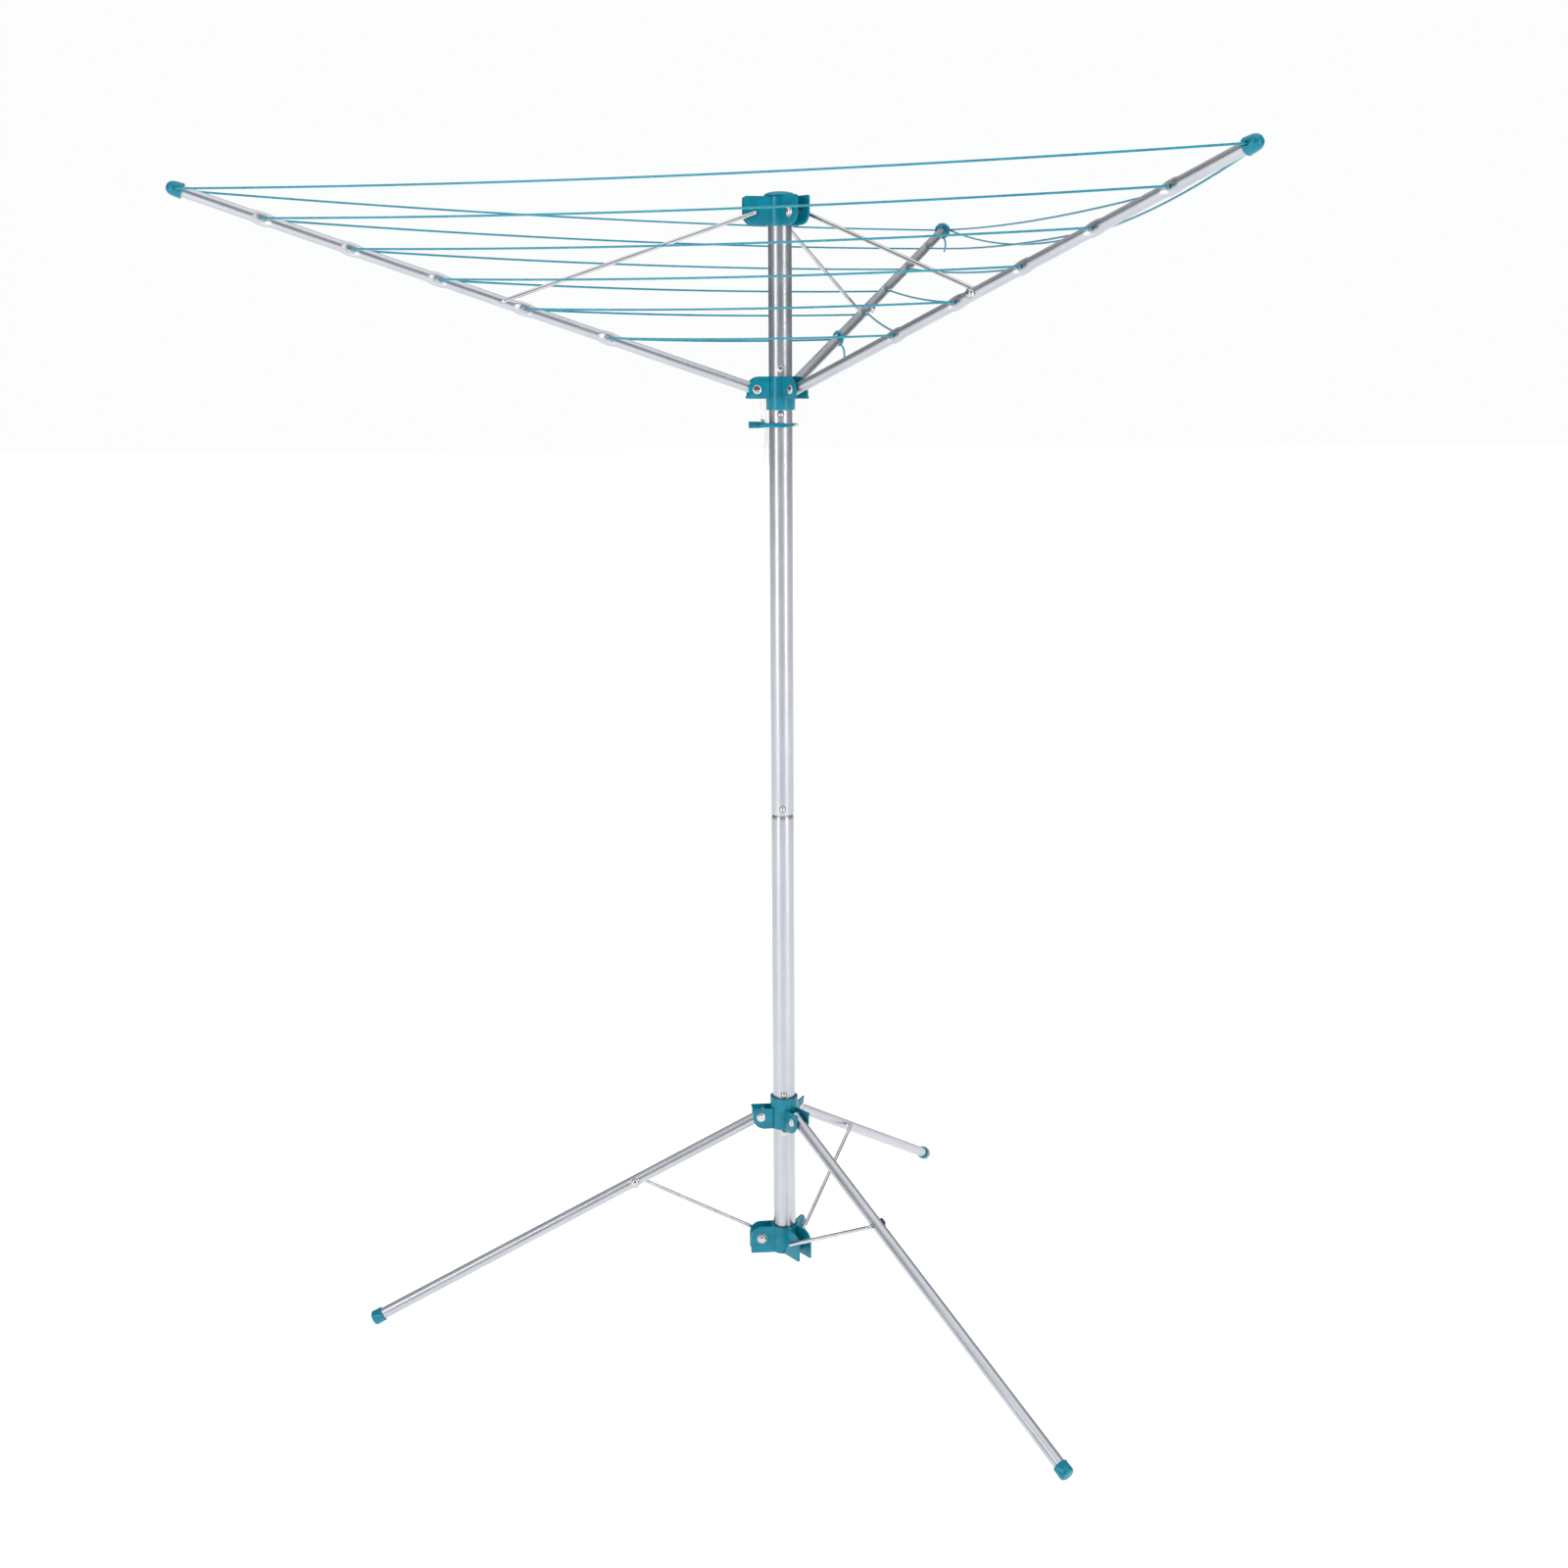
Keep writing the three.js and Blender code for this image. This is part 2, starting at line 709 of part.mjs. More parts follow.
const linePath = (() => {
  const points = [];
  const reach = TIP_R + 2;
  stops.forEach(([branch, course], i) => {
    const here = (along) => lineHole(branch, course, along);
    points.push(...(i ? [-reach, reach] : [-reach / 2, reach]).map(here));
    const last = i === stops.length - 1;
    const next = last
      ? lineHole(2, 0, -TIP_R - LINE_R - 0.8)
      : lineHole(...stops[i + 1], -reach);
    const from = here(reach);
    const length = from.distanceTo(next);
    const sag = length * (last ? LAST_SAG : LINE_SAG);
    const parts = 5;
    for (let k = 1; k < parts; k++) {
      const t = k / parts;
      const p = from.clone().lerp(next, t);
      p.z -= 4 * sag * t * (1 - t);
      points.push(p);
    }
    if (last) points.push(next);
  });
  return points;
})();

// ---------------------------------------------------------------- assembly
const root = new THREE.Group();
root.name = "rotary_clothesline";
const add = (name, made, look) => root.add(piece(name, made, look));
const front = (geometry, z) => solid(about(geometry, FRONT_AZ).translate(0, 0, z));

add("pole_lower", poleLower, ALUMINIUM);
add("pole_upper", poleUpper, ALUMINIUM);
add("hub_top", endHub(ARM_AZ).translate([0, 0, HUB_PIVOT_Z]), TEAL);
add("hub_cap", hubCap, TEAL);
add(
  "hub_base",
  upsideDown(endHub(mirrored(LEG_AZ))).translate([0, 0, BASE_PIVOT_Z]),
  TEAL,
);
add("arm_slider", slideHub(ARM_AZ).translate([0, 0, ARM_PIVOT_Z]), TEAL);
add(
  "leg_collar",
  upsideDown(slideHub(mirrored(LEG_AZ))).translate([0, 0, LEG_PIVOT_Z]),
  TEAL,
);

ARM_AZ.forEach((az, i) => {
  const n = i + 1;
  const onArm = (made) => tilted(made, az, ARM_PIVOT_Z, ARM_RISE);
  const onRod = (made) => tilted(made, az, HUB_PIVOT_Z, -ARM_RISE);
  add(`arm_${n}`, onArm(arm()), ALUMINIUM);
  add(`arm_tip_${n}`, onArm(tipCap()), TEAL);
  add(`arm_rod_${n}`, onRod(solid(rod(ARM_JOINT, 1, ARM_R))), STEEL);
  add(`arm_rod_hub_cap_${n}`, onRod(solid(starCap(0, -EAR_OUT - GAP, 1))), STEEL);
  add(
    `arm_rod_arm_cap_${n}`,
    onRod(solid(starCap(ARM_JOINT, -ARM_R - GAP, 1))),
    STEEL,
  );
  add(`arm_rivet_${n}`, tilted(solid(pivotRivet()), az, ARM_PIVOT_Z, 0), STEEL);
});

LEG_AZ.forEach((az, i) => {
  const n = i + 1;
  const onLeg = (made) => tilted(made, az, LEG_PIVOT_Z, -LEG_DROP);
  const onStay = (made) => tilted(made, az, BASE_PIVOT_Z, LEG_DROP);
  add(`leg_${n}`, onLeg(leg()), ALUMINIUM);
  add(`foot_${n}`, onLeg(foot()), TEAL);
  add(`leg_stay_${n}`, onStay(solid(rod(LEG_JOINT, -1, LEG_R))), STEEL);
  add(`leg_stay_hub_cap_${n}`, onStay(solid(starCap(0, EAR_OUT + GAP, -1))), STEEL);
  add(
    `leg_stay_leg_cap_${n}`,
    onStay(solid(starCap(LEG_JOINT, LEG_R + GAP, -1))),
    STEEL,
  );
  add(`leg_rivet_${n}`, tilted(solid(pivotRivet()), az, LEG_PIVOT_Z, 0), STEEL);
});

add("arm_stop_rivet", front(stopRivet(), UPPER_STOP_Z), STEEL);
add("leg_stop_rivet", front(stopRivet(), LEG_STOP_Z), STEEL);
add("slider_button", front(snapButton(POLE_R - POLE_WALL), SLIDE_BUTTON_Z), STEEL);
add("collar_button", front(snapButton(POLE_R - POLE_WALL), LEG_BUTTON_Z), STEEL);
add(
  "pole_button",
  front(snapButton(SPIGOT_R - POLE_WALL), JOINT_BUTTON_Z),
  STEEL,
);
add("pin_shaft", pinShaft, STEEL);
add("pin_grip", pinGrip, TEAL);
add("pin_tether", solid(swept(tetherPath, 0.6, 6)), WHITE_CORD);
add("clothes_line", solid(swept(linePath, LINE_R, 6)), TEAL_CORD);

export default root;
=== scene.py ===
"""Looks of a folding rotary clothesline: tubes, mouldings, fasteners and the strung line."""

import json
import logging
import math
from dataclasses import dataclass, field
from enum import Enum

import bmesh
import bpy
from mathutils import Matrix, Vector


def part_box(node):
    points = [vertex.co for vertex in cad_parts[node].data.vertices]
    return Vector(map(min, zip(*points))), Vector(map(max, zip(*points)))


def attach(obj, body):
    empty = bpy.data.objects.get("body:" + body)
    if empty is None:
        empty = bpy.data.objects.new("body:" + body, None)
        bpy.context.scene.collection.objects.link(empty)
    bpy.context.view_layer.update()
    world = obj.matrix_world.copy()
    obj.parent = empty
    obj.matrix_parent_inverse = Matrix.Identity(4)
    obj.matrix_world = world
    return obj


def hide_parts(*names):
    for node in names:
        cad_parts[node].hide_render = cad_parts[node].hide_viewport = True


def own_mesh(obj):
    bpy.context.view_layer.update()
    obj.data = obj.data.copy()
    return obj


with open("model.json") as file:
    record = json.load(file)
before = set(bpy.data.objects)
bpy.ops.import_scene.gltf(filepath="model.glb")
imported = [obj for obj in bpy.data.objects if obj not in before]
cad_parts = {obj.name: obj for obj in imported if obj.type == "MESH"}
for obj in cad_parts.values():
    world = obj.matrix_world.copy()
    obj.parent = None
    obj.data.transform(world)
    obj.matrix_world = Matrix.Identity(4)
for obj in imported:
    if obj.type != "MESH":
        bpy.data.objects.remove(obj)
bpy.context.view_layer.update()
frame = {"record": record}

LOG = logging.getLogger("clothesline")
MM = 0.001
UP = Vector((0, 0, 1))
Outline = list[tuple[float, float]]
Stop = tuple[float, tuple[float, float, float, float]]


class Slot(Enum):
    """The record's material slots."""

    TUBE = "aluminium_tube"
    STEEL = "bright_steel"
    TEAL = "teal_plastic"
    LINE = "line"
    STRING = "tether_cord"


class Side(Enum):
    """Which side of its branch's plane a rod runs on."""

    LEFT = 1
    RIGHT = -1


# ---------------------------------------------------------------- shaders
class Value:
    """A number socket that arithmetic works on."""

    def __init__(self, shader: "Shader", socket: bpy.types.NodeSocket) -> None:
        """Wrap a socket.

        Args:
            shader: The shader that new Math nodes are added to.
            socket: The output socket to wrap.
        """
        self.shader = shader
        self.socket = socket

    def _math(self, operation: str, first: "Value | float", second: "Value | float") -> "Value":
        """Add one Math node.

        Args:
            operation: The node's operation.
            first: Its first value or link.
            second: Its second value or link.

        Returns:
            The node's result.
        """
        made = self.shader.add("ShaderNodeMath", {"operation": operation}, {0: first, 1: second})
        return Value(self.shader, made.outputs[0])

    def __add__(self, other: "Value | float") -> "Value":
        """Return self plus other."""
        return self._math("ADD", self, other)

    def __radd__(self, other: float) -> "Value":
        """Return other plus self."""
        return self._math("ADD", other, self)

    def __sub__(self, other: "Value | float") -> "Value":
        """Return self minus other."""
        return self._math("SUBTRACT", self, other)

    def __rsub__(self, other: float) -> "Value":
        """Return other minus self."""
        return self._math("SUBTRACT", other, self)

    def __mul__(self, other: "Value | float") -> "Value":
        """Return self times other."""
        return self._math("MULTIPLY", self, other)

    def __rmul__(self, other: float) -> "Value":
        """Return other times self."""
        return self._math("MULTIPLY", other, self)

    def __pow__(self, other: float) -> "Value":
        """Return self to a power."""
        return self._math("POWER", self, other)

    def wave(self) -> "Value":
        """Return the sine of self."""
        return self._math("SINE", self, 0.0)

    def angle(self, other: "Value") -> "Value":
        """Return the angle whose sine is self and cosine is other."""
        return self._math("ARCTAN2", self, other)


class Shader:
    """A material under construction, with its Principled shader."""

    def __init__(self, name: str) -> None:
        """Start an empty node tree.

        Args:
            name: The material's name.
        """
        self.material = bpy.data.materials.new(name)
        self.material.use_nodes = True
        self.material.node_tree.nodes.clear()
        self.surface = self.add("ShaderNodeBsdfPrincipled")
        self.add("ShaderNodeOutputMaterial", inputs={"Surface": self.surface.outputs[0]})

    def add(
        self,
        kind: str,
        settings: dict[str, object] | None = None,
        inputs: dict[str | int, object] | None = None,
    ) -> bpy.types.Node:
        """Add a node, set it up, then fill its sockets.

        Args:
            kind: The node's type.
            settings: Its properties; "stops" fills a colour ramp.
            inputs: Values, sockets or Values by socket name or number.

        Returns:
            The new node.
        """
        node = self.material.node_tree.nodes.new(kind)
        for key, value in (settings or {}).items():
            if key == "stops":
                ramp = node.color_ramp
                while len(ramp.elements) < len(value):
                    ramp.elements.new(0.5)
                for element, (place, colour) in zip(ramp.elements, value):
                    element.position, element.color = place, colour
            else:
                setattr(node, key, value)
        for key, value in (inputs or {}).items():
            self.fill(node.inputs[key], value)
        return node

    def fill(self, socket: bpy.types.NodeSocket, value: object) -> None:
        """Link a socket to an output, or set its own value.

        Args:
            socket: The input socket.
            value: A Value, an output socket, or a plain value.
        """
        if isinstance(value, Value):
            value = value.socket
        if isinstance(value, bpy.types.NodeSocket):
            self.material.node_tree.links.new(value, socket)
        else:
            socket.default_value = value

    def along(self, scale: tuple[float, float, float], layer: str | None = "UVMap") -> object:
        """Give coordinates stretched by a scale.

        Args:
            scale: Repeats per metre on each axis.
            layer: The piece's UV map, or None for its Object coordinates.

        Returns:
            The vector socket.
        """
        if layer:
            source = self.add("ShaderNodeUVMap", {"uv_map": layer}).outputs[0]
        else:
            source = self.add("ShaderNodeTexCoord").outputs["Object"]
        placed = self.add("ShaderNodeMapping", inputs={"Vector": source, "Scale": scale})
        return placed.outputs[0]

    def noise(self, vector: object, scale: float, detail: float = 3.0, rough: float = 0.5) -> Value:
        """Add a noise texture.

        Args:
            vector: Its coordinates.
            scale: Its scale.
            detail: Its octaves.
            rough: How strong the fine octaves are.

        Returns:
            Its value, about 0.3 to 0.7.
        """
        made = self.add(
            "ShaderNodeTexNoise",
            inputs={"Vector": vector, "Scale": scale, "Detail": detail, "Roughness": rough},
        )
        return Value(self, made.outputs[0])

    def ramp(self, value: Value, stops: list[Stop]) -> bpy.types.NodeSocket:
        """Turn a value into a colour.

        Args:
            value: The value.
            stops: Places and colours.

        Returns:
            The colour socket.
        """
        made = self.add("ShaderNodeValToRGB", {"stops": stops}, {0: value})
        return made.outputs[0]

    def relief(self, height: Value, depth: float, strength: float = 1.0) -> None:
        """Raise the surface by a height.

        Args:
            height: The height, 0 to 1.
            depth: Metres that 1 stands for.
            strength: The Bump node's strength.
        """
        bump = self.add(
            "ShaderNodeBump", inputs={"Strength": strength, "Distance": depth, "Height": height}
        )
        self.fill(self.surface.inputs["Normal"], bump.outputs[0])

    def dress(self, **sockets: object) -> None:
        """Fill the Principled shader's sockets.

        Args:
            **sockets: Values by socket name, with _ for a space.
        """
        for name, value in sockets.items():
            self.fill(self.surface.inputs[name.replace("_", " ")], value)


def shade(r: float, g: float, b: float) -> tuple[float, float, float, float]:
    """Return an opaque colour."""
    return (r, g, b, 1.0)


@dataclass(frozen=True)
class SatinTube:
    """Drawn aluminium: fine lengthwise lines, faint clouding and small scuffs."""

    name: str
    light: tuple[float, float, float, float]
    dark: tuple[float, float, float, float]
    roughness: float

    def material(self) -> bpy.types.Material:
        """Return the finished material.

        Returns:
            The material.
        """
        s = Shader(self.name)
        lines = s.noise(s.along((1500.0, 9.0, 1.0)), 1.0, 4.0, 0.62)
        clouds = s.noise(s.along((26.0, 15.0, 1.0)), 1.0, 3.0)
        scuffs = s.noise(s.along((160.0, 1300.0, 1.0)), 1.0, 2.0, 0.7)
        mix = 0.62 * lines + 0.38 * clouds
        s.dress(
            Metallic=1.0,
            Base_Color=s.ramp(mix, [(0.36, self.dark), (0.6, self.light)]),
            Roughness=self.roughness
            + 0.16 * (lines - 0.5)
            + 0.22 * (clouds - 0.5)
            + 0.1 * (scuffs - 0.5),
        )
        s.relief(lines + 0.35 * scuffs, 0.000008, 0.25)
        return s.material


@dataclass(frozen=True)
class BrightSteel:
    """Plated wire and stampings: bright, with faint haze and handling marks."""

    name: str
    light: tuple[float, float, float, float]
    dark: tuple[float, float, float, float]
    roughness: float

    def material(self) -> bpy.types.Material:
        """Return the finished material.

        Returns:
            The material.
        """
        s = Shader(self.name)
        haze = s.noise(s.along((22.0, 22.0, 22.0), None), 1.0, 2.0)
        marks = s.noise(s.along((420.0, 420.0, 420.0), None), 1.0, 2.0, 0.6)
        s.dress(
            Metallic=1.0,
            Base_Color=s.ramp(haze, [(0.38, self.dark), (0.62, self.light)]),
            Roughness=self.roughness + 0.06 * (haze - 0.5) + 0.03 * (marks - 0.5),
        )
        return s.material


@dataclass(frozen=True)
class MouldedTeal:
    """Injection-moulded teal plastic: spark-eroded grain, flow clouding and faint dust."""

    name: str
    deep: tuple[float, float, float, float]
    bright: tuple[float, float, float, float]

    def material(self) -> bpy.types.Material:
        """Return the finished material.

        Returns:
            The material.
        """
        s = Shader(self.name)
        flow = s.noise(s.along((42.0, 42.0, 68.0), None), 1.0, 3.0)
        grain = s.noise(s.along((1700.0, 1700.0, 1700.0), None), 1.0, 2.0, 0.6)
        dust = s.noise(s.along((260.0, 260.0, 260.0), None), 1.0, 5.0, 0.7)
        s.dress(
            Base_Color=s.ramp(0.8 * flow + 0.2 * dust, [(0.36, self.deep), (0.64, self.bright)]),
            Roughness=0.2 + 0.16 * (grain - 0.5) + 0.2 * (dust - 0.4),
            Specular_IOR_Level=0.3,
        )
        s.relief(grain + 0.4 * dust, 0.00003, 0.4)
        return s.material


@dataclass(frozen=True)
class CoatedLine:
    """Plastic-coated line whose twisted core shows through the coat as a shallow lay, with painted
    shade darkening the lay's grooves and its crowns painted lighter.
    """

    name: str
    deep: tuple[float, float, float, float]
    bright: tuple[float, float, float, float]
    strands: float
    pitch: float
    depth: float
    roughness: float

    def material(self) -> bpy.types.Material:
        """Return the finished material.

        Returns:
            The material.
        """
        s = Shader(self.name)
        lay = s.add("ShaderNodeAttribute", {"attribute_name": "lay"})
        x, y, length = (
            Value(s, part)
            for part in s.add("ShaderNodeSeparateXYZ", inputs={0: lay.outputs["Vector"]}).outputs
        )
        turns = self.strands * y.angle(x) + (2 * math.pi / self.pitch) * length
        lay_and_groove_shade = 0.5 + 0.5 * turns.wave()
        wear = s.noise(s.along((60.0, 60.0, 60.0), None), 1.0, 3.0)
        fine = s.noise(s.along((1400.0, 1400.0, 1400.0), None), 1.0, 2.0)
        # the lay's height also tints the colour: painted shade in its grooves, painted light on its
        # crowns
        s.dress(
            Base_Color=s.ramp(0.7 * wear + 0.3 * lay_and_groove_shade, [(0.3, self.deep), (0.68, self.bright)]),
            Roughness=self.roughness + 0.2 * (wear - 0.5) + 0.12 * (fine - 0.5),
        )
        s.relief(lay_and_groove_shade + 0.15 * fine, self.depth, 0.8)
        return s.material


@dataclass(frozen=True)
class PaleFloor:
    """A plain pale studio sweep."""

    colour: tuple[float, float, float, float] = shade(0.82, 0.825, 0.83)
    glow: float = 0.72

    def material(self) -> bpy.types.Material:
        """Return the finished material.

        Returns:
            The material.
        """
        s = Shader("studio_floor")
        s.dress(
            Base_Color=self.colour,
            Roughness=0.3,
            Specular_IOR_Level=0.12,
            Emission_Color=shade(1.0, 1.0, 1.0),
            Emission_Strength=self.glow,
        )
        return s.material


# ---------------------------------------------------------------- mesh making
def smooth_step(t: float) -> float:
    """Return a smooth 0 to 1 for t from 0 to 1."""
    t = min(max(t, 0.0), 1.0)
    return t * t * (3 - 2 * t)


def eased(points: Outline, radius: float, steps: int = 3, ring: bool = False) -> Outline:
    """Round the corners of a flat outline.

    Args:
        points: Its corners.
        radius: The rounding, no more than a third of a side.
        steps: Segments in each corner.
        ring: Whether the outline closes on itself.

    Returns:
        The outline with rounded corners.
    """
    out: Outline = []
    count = len(points)
    for i, here in enumerate(points):
        if not ring and i in (0, count - 1):
            out.append(here)
            continue
        b = Vector(here)
        a, c = Vector(points[i - 1]), Vector(points[(i + 1) % count])
        r = min(radius, (a - b).length / 3, (c - b).length / 3)
        before, after = b + (a - b).normalized() * r, b + (c - b).normalized() * r
        for k in range(steps + 1):
            t = k / steps
            p = before * (1 - t) ** 2 + b * 2 * t * (1 - t) + after * t * t
            out.append((p.x, p.y))
    return out


def arc(cx: float, cy: float, r: float, start: float, end: float, steps: int = 10) -> Outline:
    """Return points on an arc, with angles in degrees."""
    turn = [math.radians(start + (end - start) * k / steps) for k in range(steps + 1)]
    return [(cx + r * math.cos(t), cy + r * math.sin(t)) for t in turn]


def inset(points: Outline, by: float) -> Outline:
    """Move a closed anticlockwise outline inwards.

    Args:
        points: Its corners.
        by: How far.

    Returns:
        The smaller outline, corner for corner.
    """
    out: Outline = []
    for i, here in enumerate(points):
        a, b, c = Vector(points[i - 1]), Vector(here), Vector(points[(i + 1) % len(points)])
        one, two = (b - a).normalized(), (c - b).normalized()
        n1, n2 = Vector((-one.y, one.x)), Vector((-two.y, two.x))
        bisector = (n1 + n2) / max(0.4, 1 + n1.dot(n2))
        p = b + bisector * by
        out.append((p.x, p.y))
    return out


class Shell:
    """Closed skins gathered in metres before they become one mesh."""

    def __init__(self) -> None:
        """Start with nothing."""
        self.bm = bmesh.new()
        self.uv = self.bm.loops.layers.uv.new("UVMap")

    def skin(
        self,
        rings: list[list[Vector]],
        place: Matrix | None = None,
        loop: bool = False,
    ) -> "Shell":
        """Join rings of equal size into one skin, with flat ends unless it loops.

        Args:
            rings: Points of each ring, in order.
            place: Where the skin goes.
            loop: Whether the last ring joins the first.

        Returns:
            The shell itself.
        """
        place = place or Matrix.Identity(4)
        sides = len(rings[0])
        rows = [[self.bm.verts.new(place @ p) for p in ring] for ring in rings]
        widest = max(rings, key=lambda ring: (ring[0] - ring[sides // 2]).length)
        girth = sum((widest[k] - widest[k - 1]).length for k in range(sides)) / sides
        heights = [0.0]
        for a, b in zip(rings, rings[1:] + rings[:1]):
            heights.append(heights[-1] + (a[0] - b[0]).length)
        for k in range(len(rows) if loop else len(rows) - 1):
            low, high = rows[k], rows[(k + 1) % len(rows)]
            for i in range(sides):
                j = (i + 1) % sides
                face = self.bm.faces.new((low[i], low[j], high[j], high[i]))
                corners = ((i, k), (i + 1, k), (i + 1, k + 1), (i, k + 1))
                for corner, (u, v) in zip(face.loops, corners):
                    corner[self.uv].uv = (u * girth, heights[v])
        if not loop:
            for row in (rows[0], rows[-1]):
                face = self.bm.faces.new(row)
                for corner in face.loops:
                    corner[self.uv].uv = corner.vert.co.xy
        return self

    def turned(
        self,
        profile: Outline,
        place: Matrix | None = None,
        sides: int = 48,
        wall: bool = False,
    ) -> "Shell":
        """Turn a profile of (radius, height) about Z.

        Args:
            profile: Millimetre corners from one end to the other, or round a wall.
            place: Where the piece goes.
            sides: Segments in a turn.
            wall: Whether the profile closes on itself.

        Returns:
            The shell itself.
        """
        turn = [2 * math.pi * (k + 0.5) / sides for k in range(sides)]
        rings = [
            [Vector((r * math.cos(t), r * math.sin(t), z)) * MM for t in turn] for r, z in profile
        ]
        return self.skin(rings, place, wall)

    def plate(
        self,
        outline: Outline,
        low: float,
        high: float,
        edge: float,
        place: Matrix | None = None,
    ) -> "Shell":
        """Make a flat plate in X and Z, with rounded edges, between two distances along Y.

        Args:
            outline: Anticlockwise millimetre corners in X and Z.
            low: Its first face.
            high: Its other face.
            edge: The rounding of its edges.
            place: Where the plate goes.

        Returns:
            The shell itself.
        """
        turn = [math.pi / 2 * k / 3 for k in range(4)]
        levels = [(edge * (1 - math.sin(t)), low + edge * (1 - math.cos(t))) for t in turn]
        levels += [(a, low + high - y) for a, y in reversed(levels)]
        rings = [
            [Vector((x, y, z)) * MM for x, z in (inset(outline, by) if by > 1e-6 else outline)]
            for by, y in levels
        ]
        return self.skin(rings, place)

    def swept(
        self,
        path: list[Vector],
        radius: float,
        sides: int = 14,
        place: Matrix | None = None,
        flare: list[float] | None = None,
    ) -> "Shell":
        """Sweep a round section along a path.

        Args:
            path: Points in metres.
            radius: The section's radius in metres.
            sides: Sides of the section.
            place: Where the piece goes.
            flare: A share of the radius at each point, or None for an even rod.

        Returns:
            The shell itself.
        """
        ways = [
            (path[min(i + 1, len(path) - 1)] - path[max(i - 1, 0)]).normalized()
            for i in range(len(path))
        ]
        side = ways[0].orthogonal().normalized()
        rings = []
        for i, (p, way) in enumerate(zip(path, ways)):
            side = (side - way * side.dot(way)).normalized()
            other = way.cross(side)
            r = radius * (flare[i] if flare else 1.0)
            rings.append(
                [
                    p + r * (side * math.cos(t) + other * math.sin(t))
                    for t in (2 * math.pi * k / sides for k in range(sides))
                ]
            )
        return self.skin(rings, place)

    def ready(
        self, name: str, material: bpy.types.Material, crease: float = 38.0
    ) -> bpy.types.Object:
        """Weld the skins and turn them into an object.

        Args:
            name: The object's name.
            material: Its material.
            crease: Edges sharper than this many degrees stay sharp.

        Returns:
            The object.
        """
        bmesh.ops.remove_doubles(self.bm, verts=self.bm.verts, dist=1e-7)
        bmesh.ops.recalc_face_normals(self.bm, faces=self.bm.faces)
        mesh = bpy.data.meshes.new(name)
        self.bm.to_mesh(mesh)
        self.bm.free()
        mesh.shade_smooth()
        mesh.set_sharp_from_angle(angle=math.radians(crease))
        mesh.materials.append(material)
        made = bpy.data.objects.new(name, mesh)
        bpy.context.collection.objects.link(made)
        return made


def frozen(source: bpy.types.Object, name: str) -> bpy.types.Object:
    """Turn an object with modifiers into a plain mesh object and remove the first.

    Args:
        source: The object with live modifiers.
        name: The new object's name.

    Returns:
        The plain object.
    """
    graph = bpy.context.evaluated_depsgraph_get()
    mesh = bpy.data.meshes.new_from_object(source.evaluated_get(graph))
    bpy.data.objects.remove(source)
    mesh.name = name
    made = bpy.data.objects.new(name, mesh)
    bpy.context.collection.objects.link(made)
    return made


def drilled(body: bpy.types.Object, drills: Shell, crease: float = 38.0) -> bpy.types.Object:
    """Cut holes in an object.

    Args:
        body: The object.
        drills: Closed skins to cut with.
        crease: Edges sharper than this many degrees stay sharp.

    Returns:
        The drilled object, under the same name.
    """
    name = body.name
    body.name = name + "_blank"
    cutter = drills.ready(name + "_drills", body.data.materials[0])
    cutting = body.modifiers.new("holes", "BOOLEAN")
    cutting.operation, cutting.solver, cutting.object = "DIFFERENCE", "EXACT", cutter
    made = frozen(body, name)
    bpy.data.objects.remove(cutter)
    made.data.shade_smooth()
    made.data.set_sharp_from_angle(angle=math.radians(crease))
    return made


def across(x: float, r: float, half: float, z: float = 0.0) -> tuple[Outline, Matrix]:
    """Give the profile and place of a drill along Y, in millimetres."""
    place = Matrix.Translation(Vector((x, 0, z)) * MM) @ Matrix.Rotation(math.pi / 2, 4, "X")
    return [(0, -half), (r, -half), (r, half), (0, half)], place


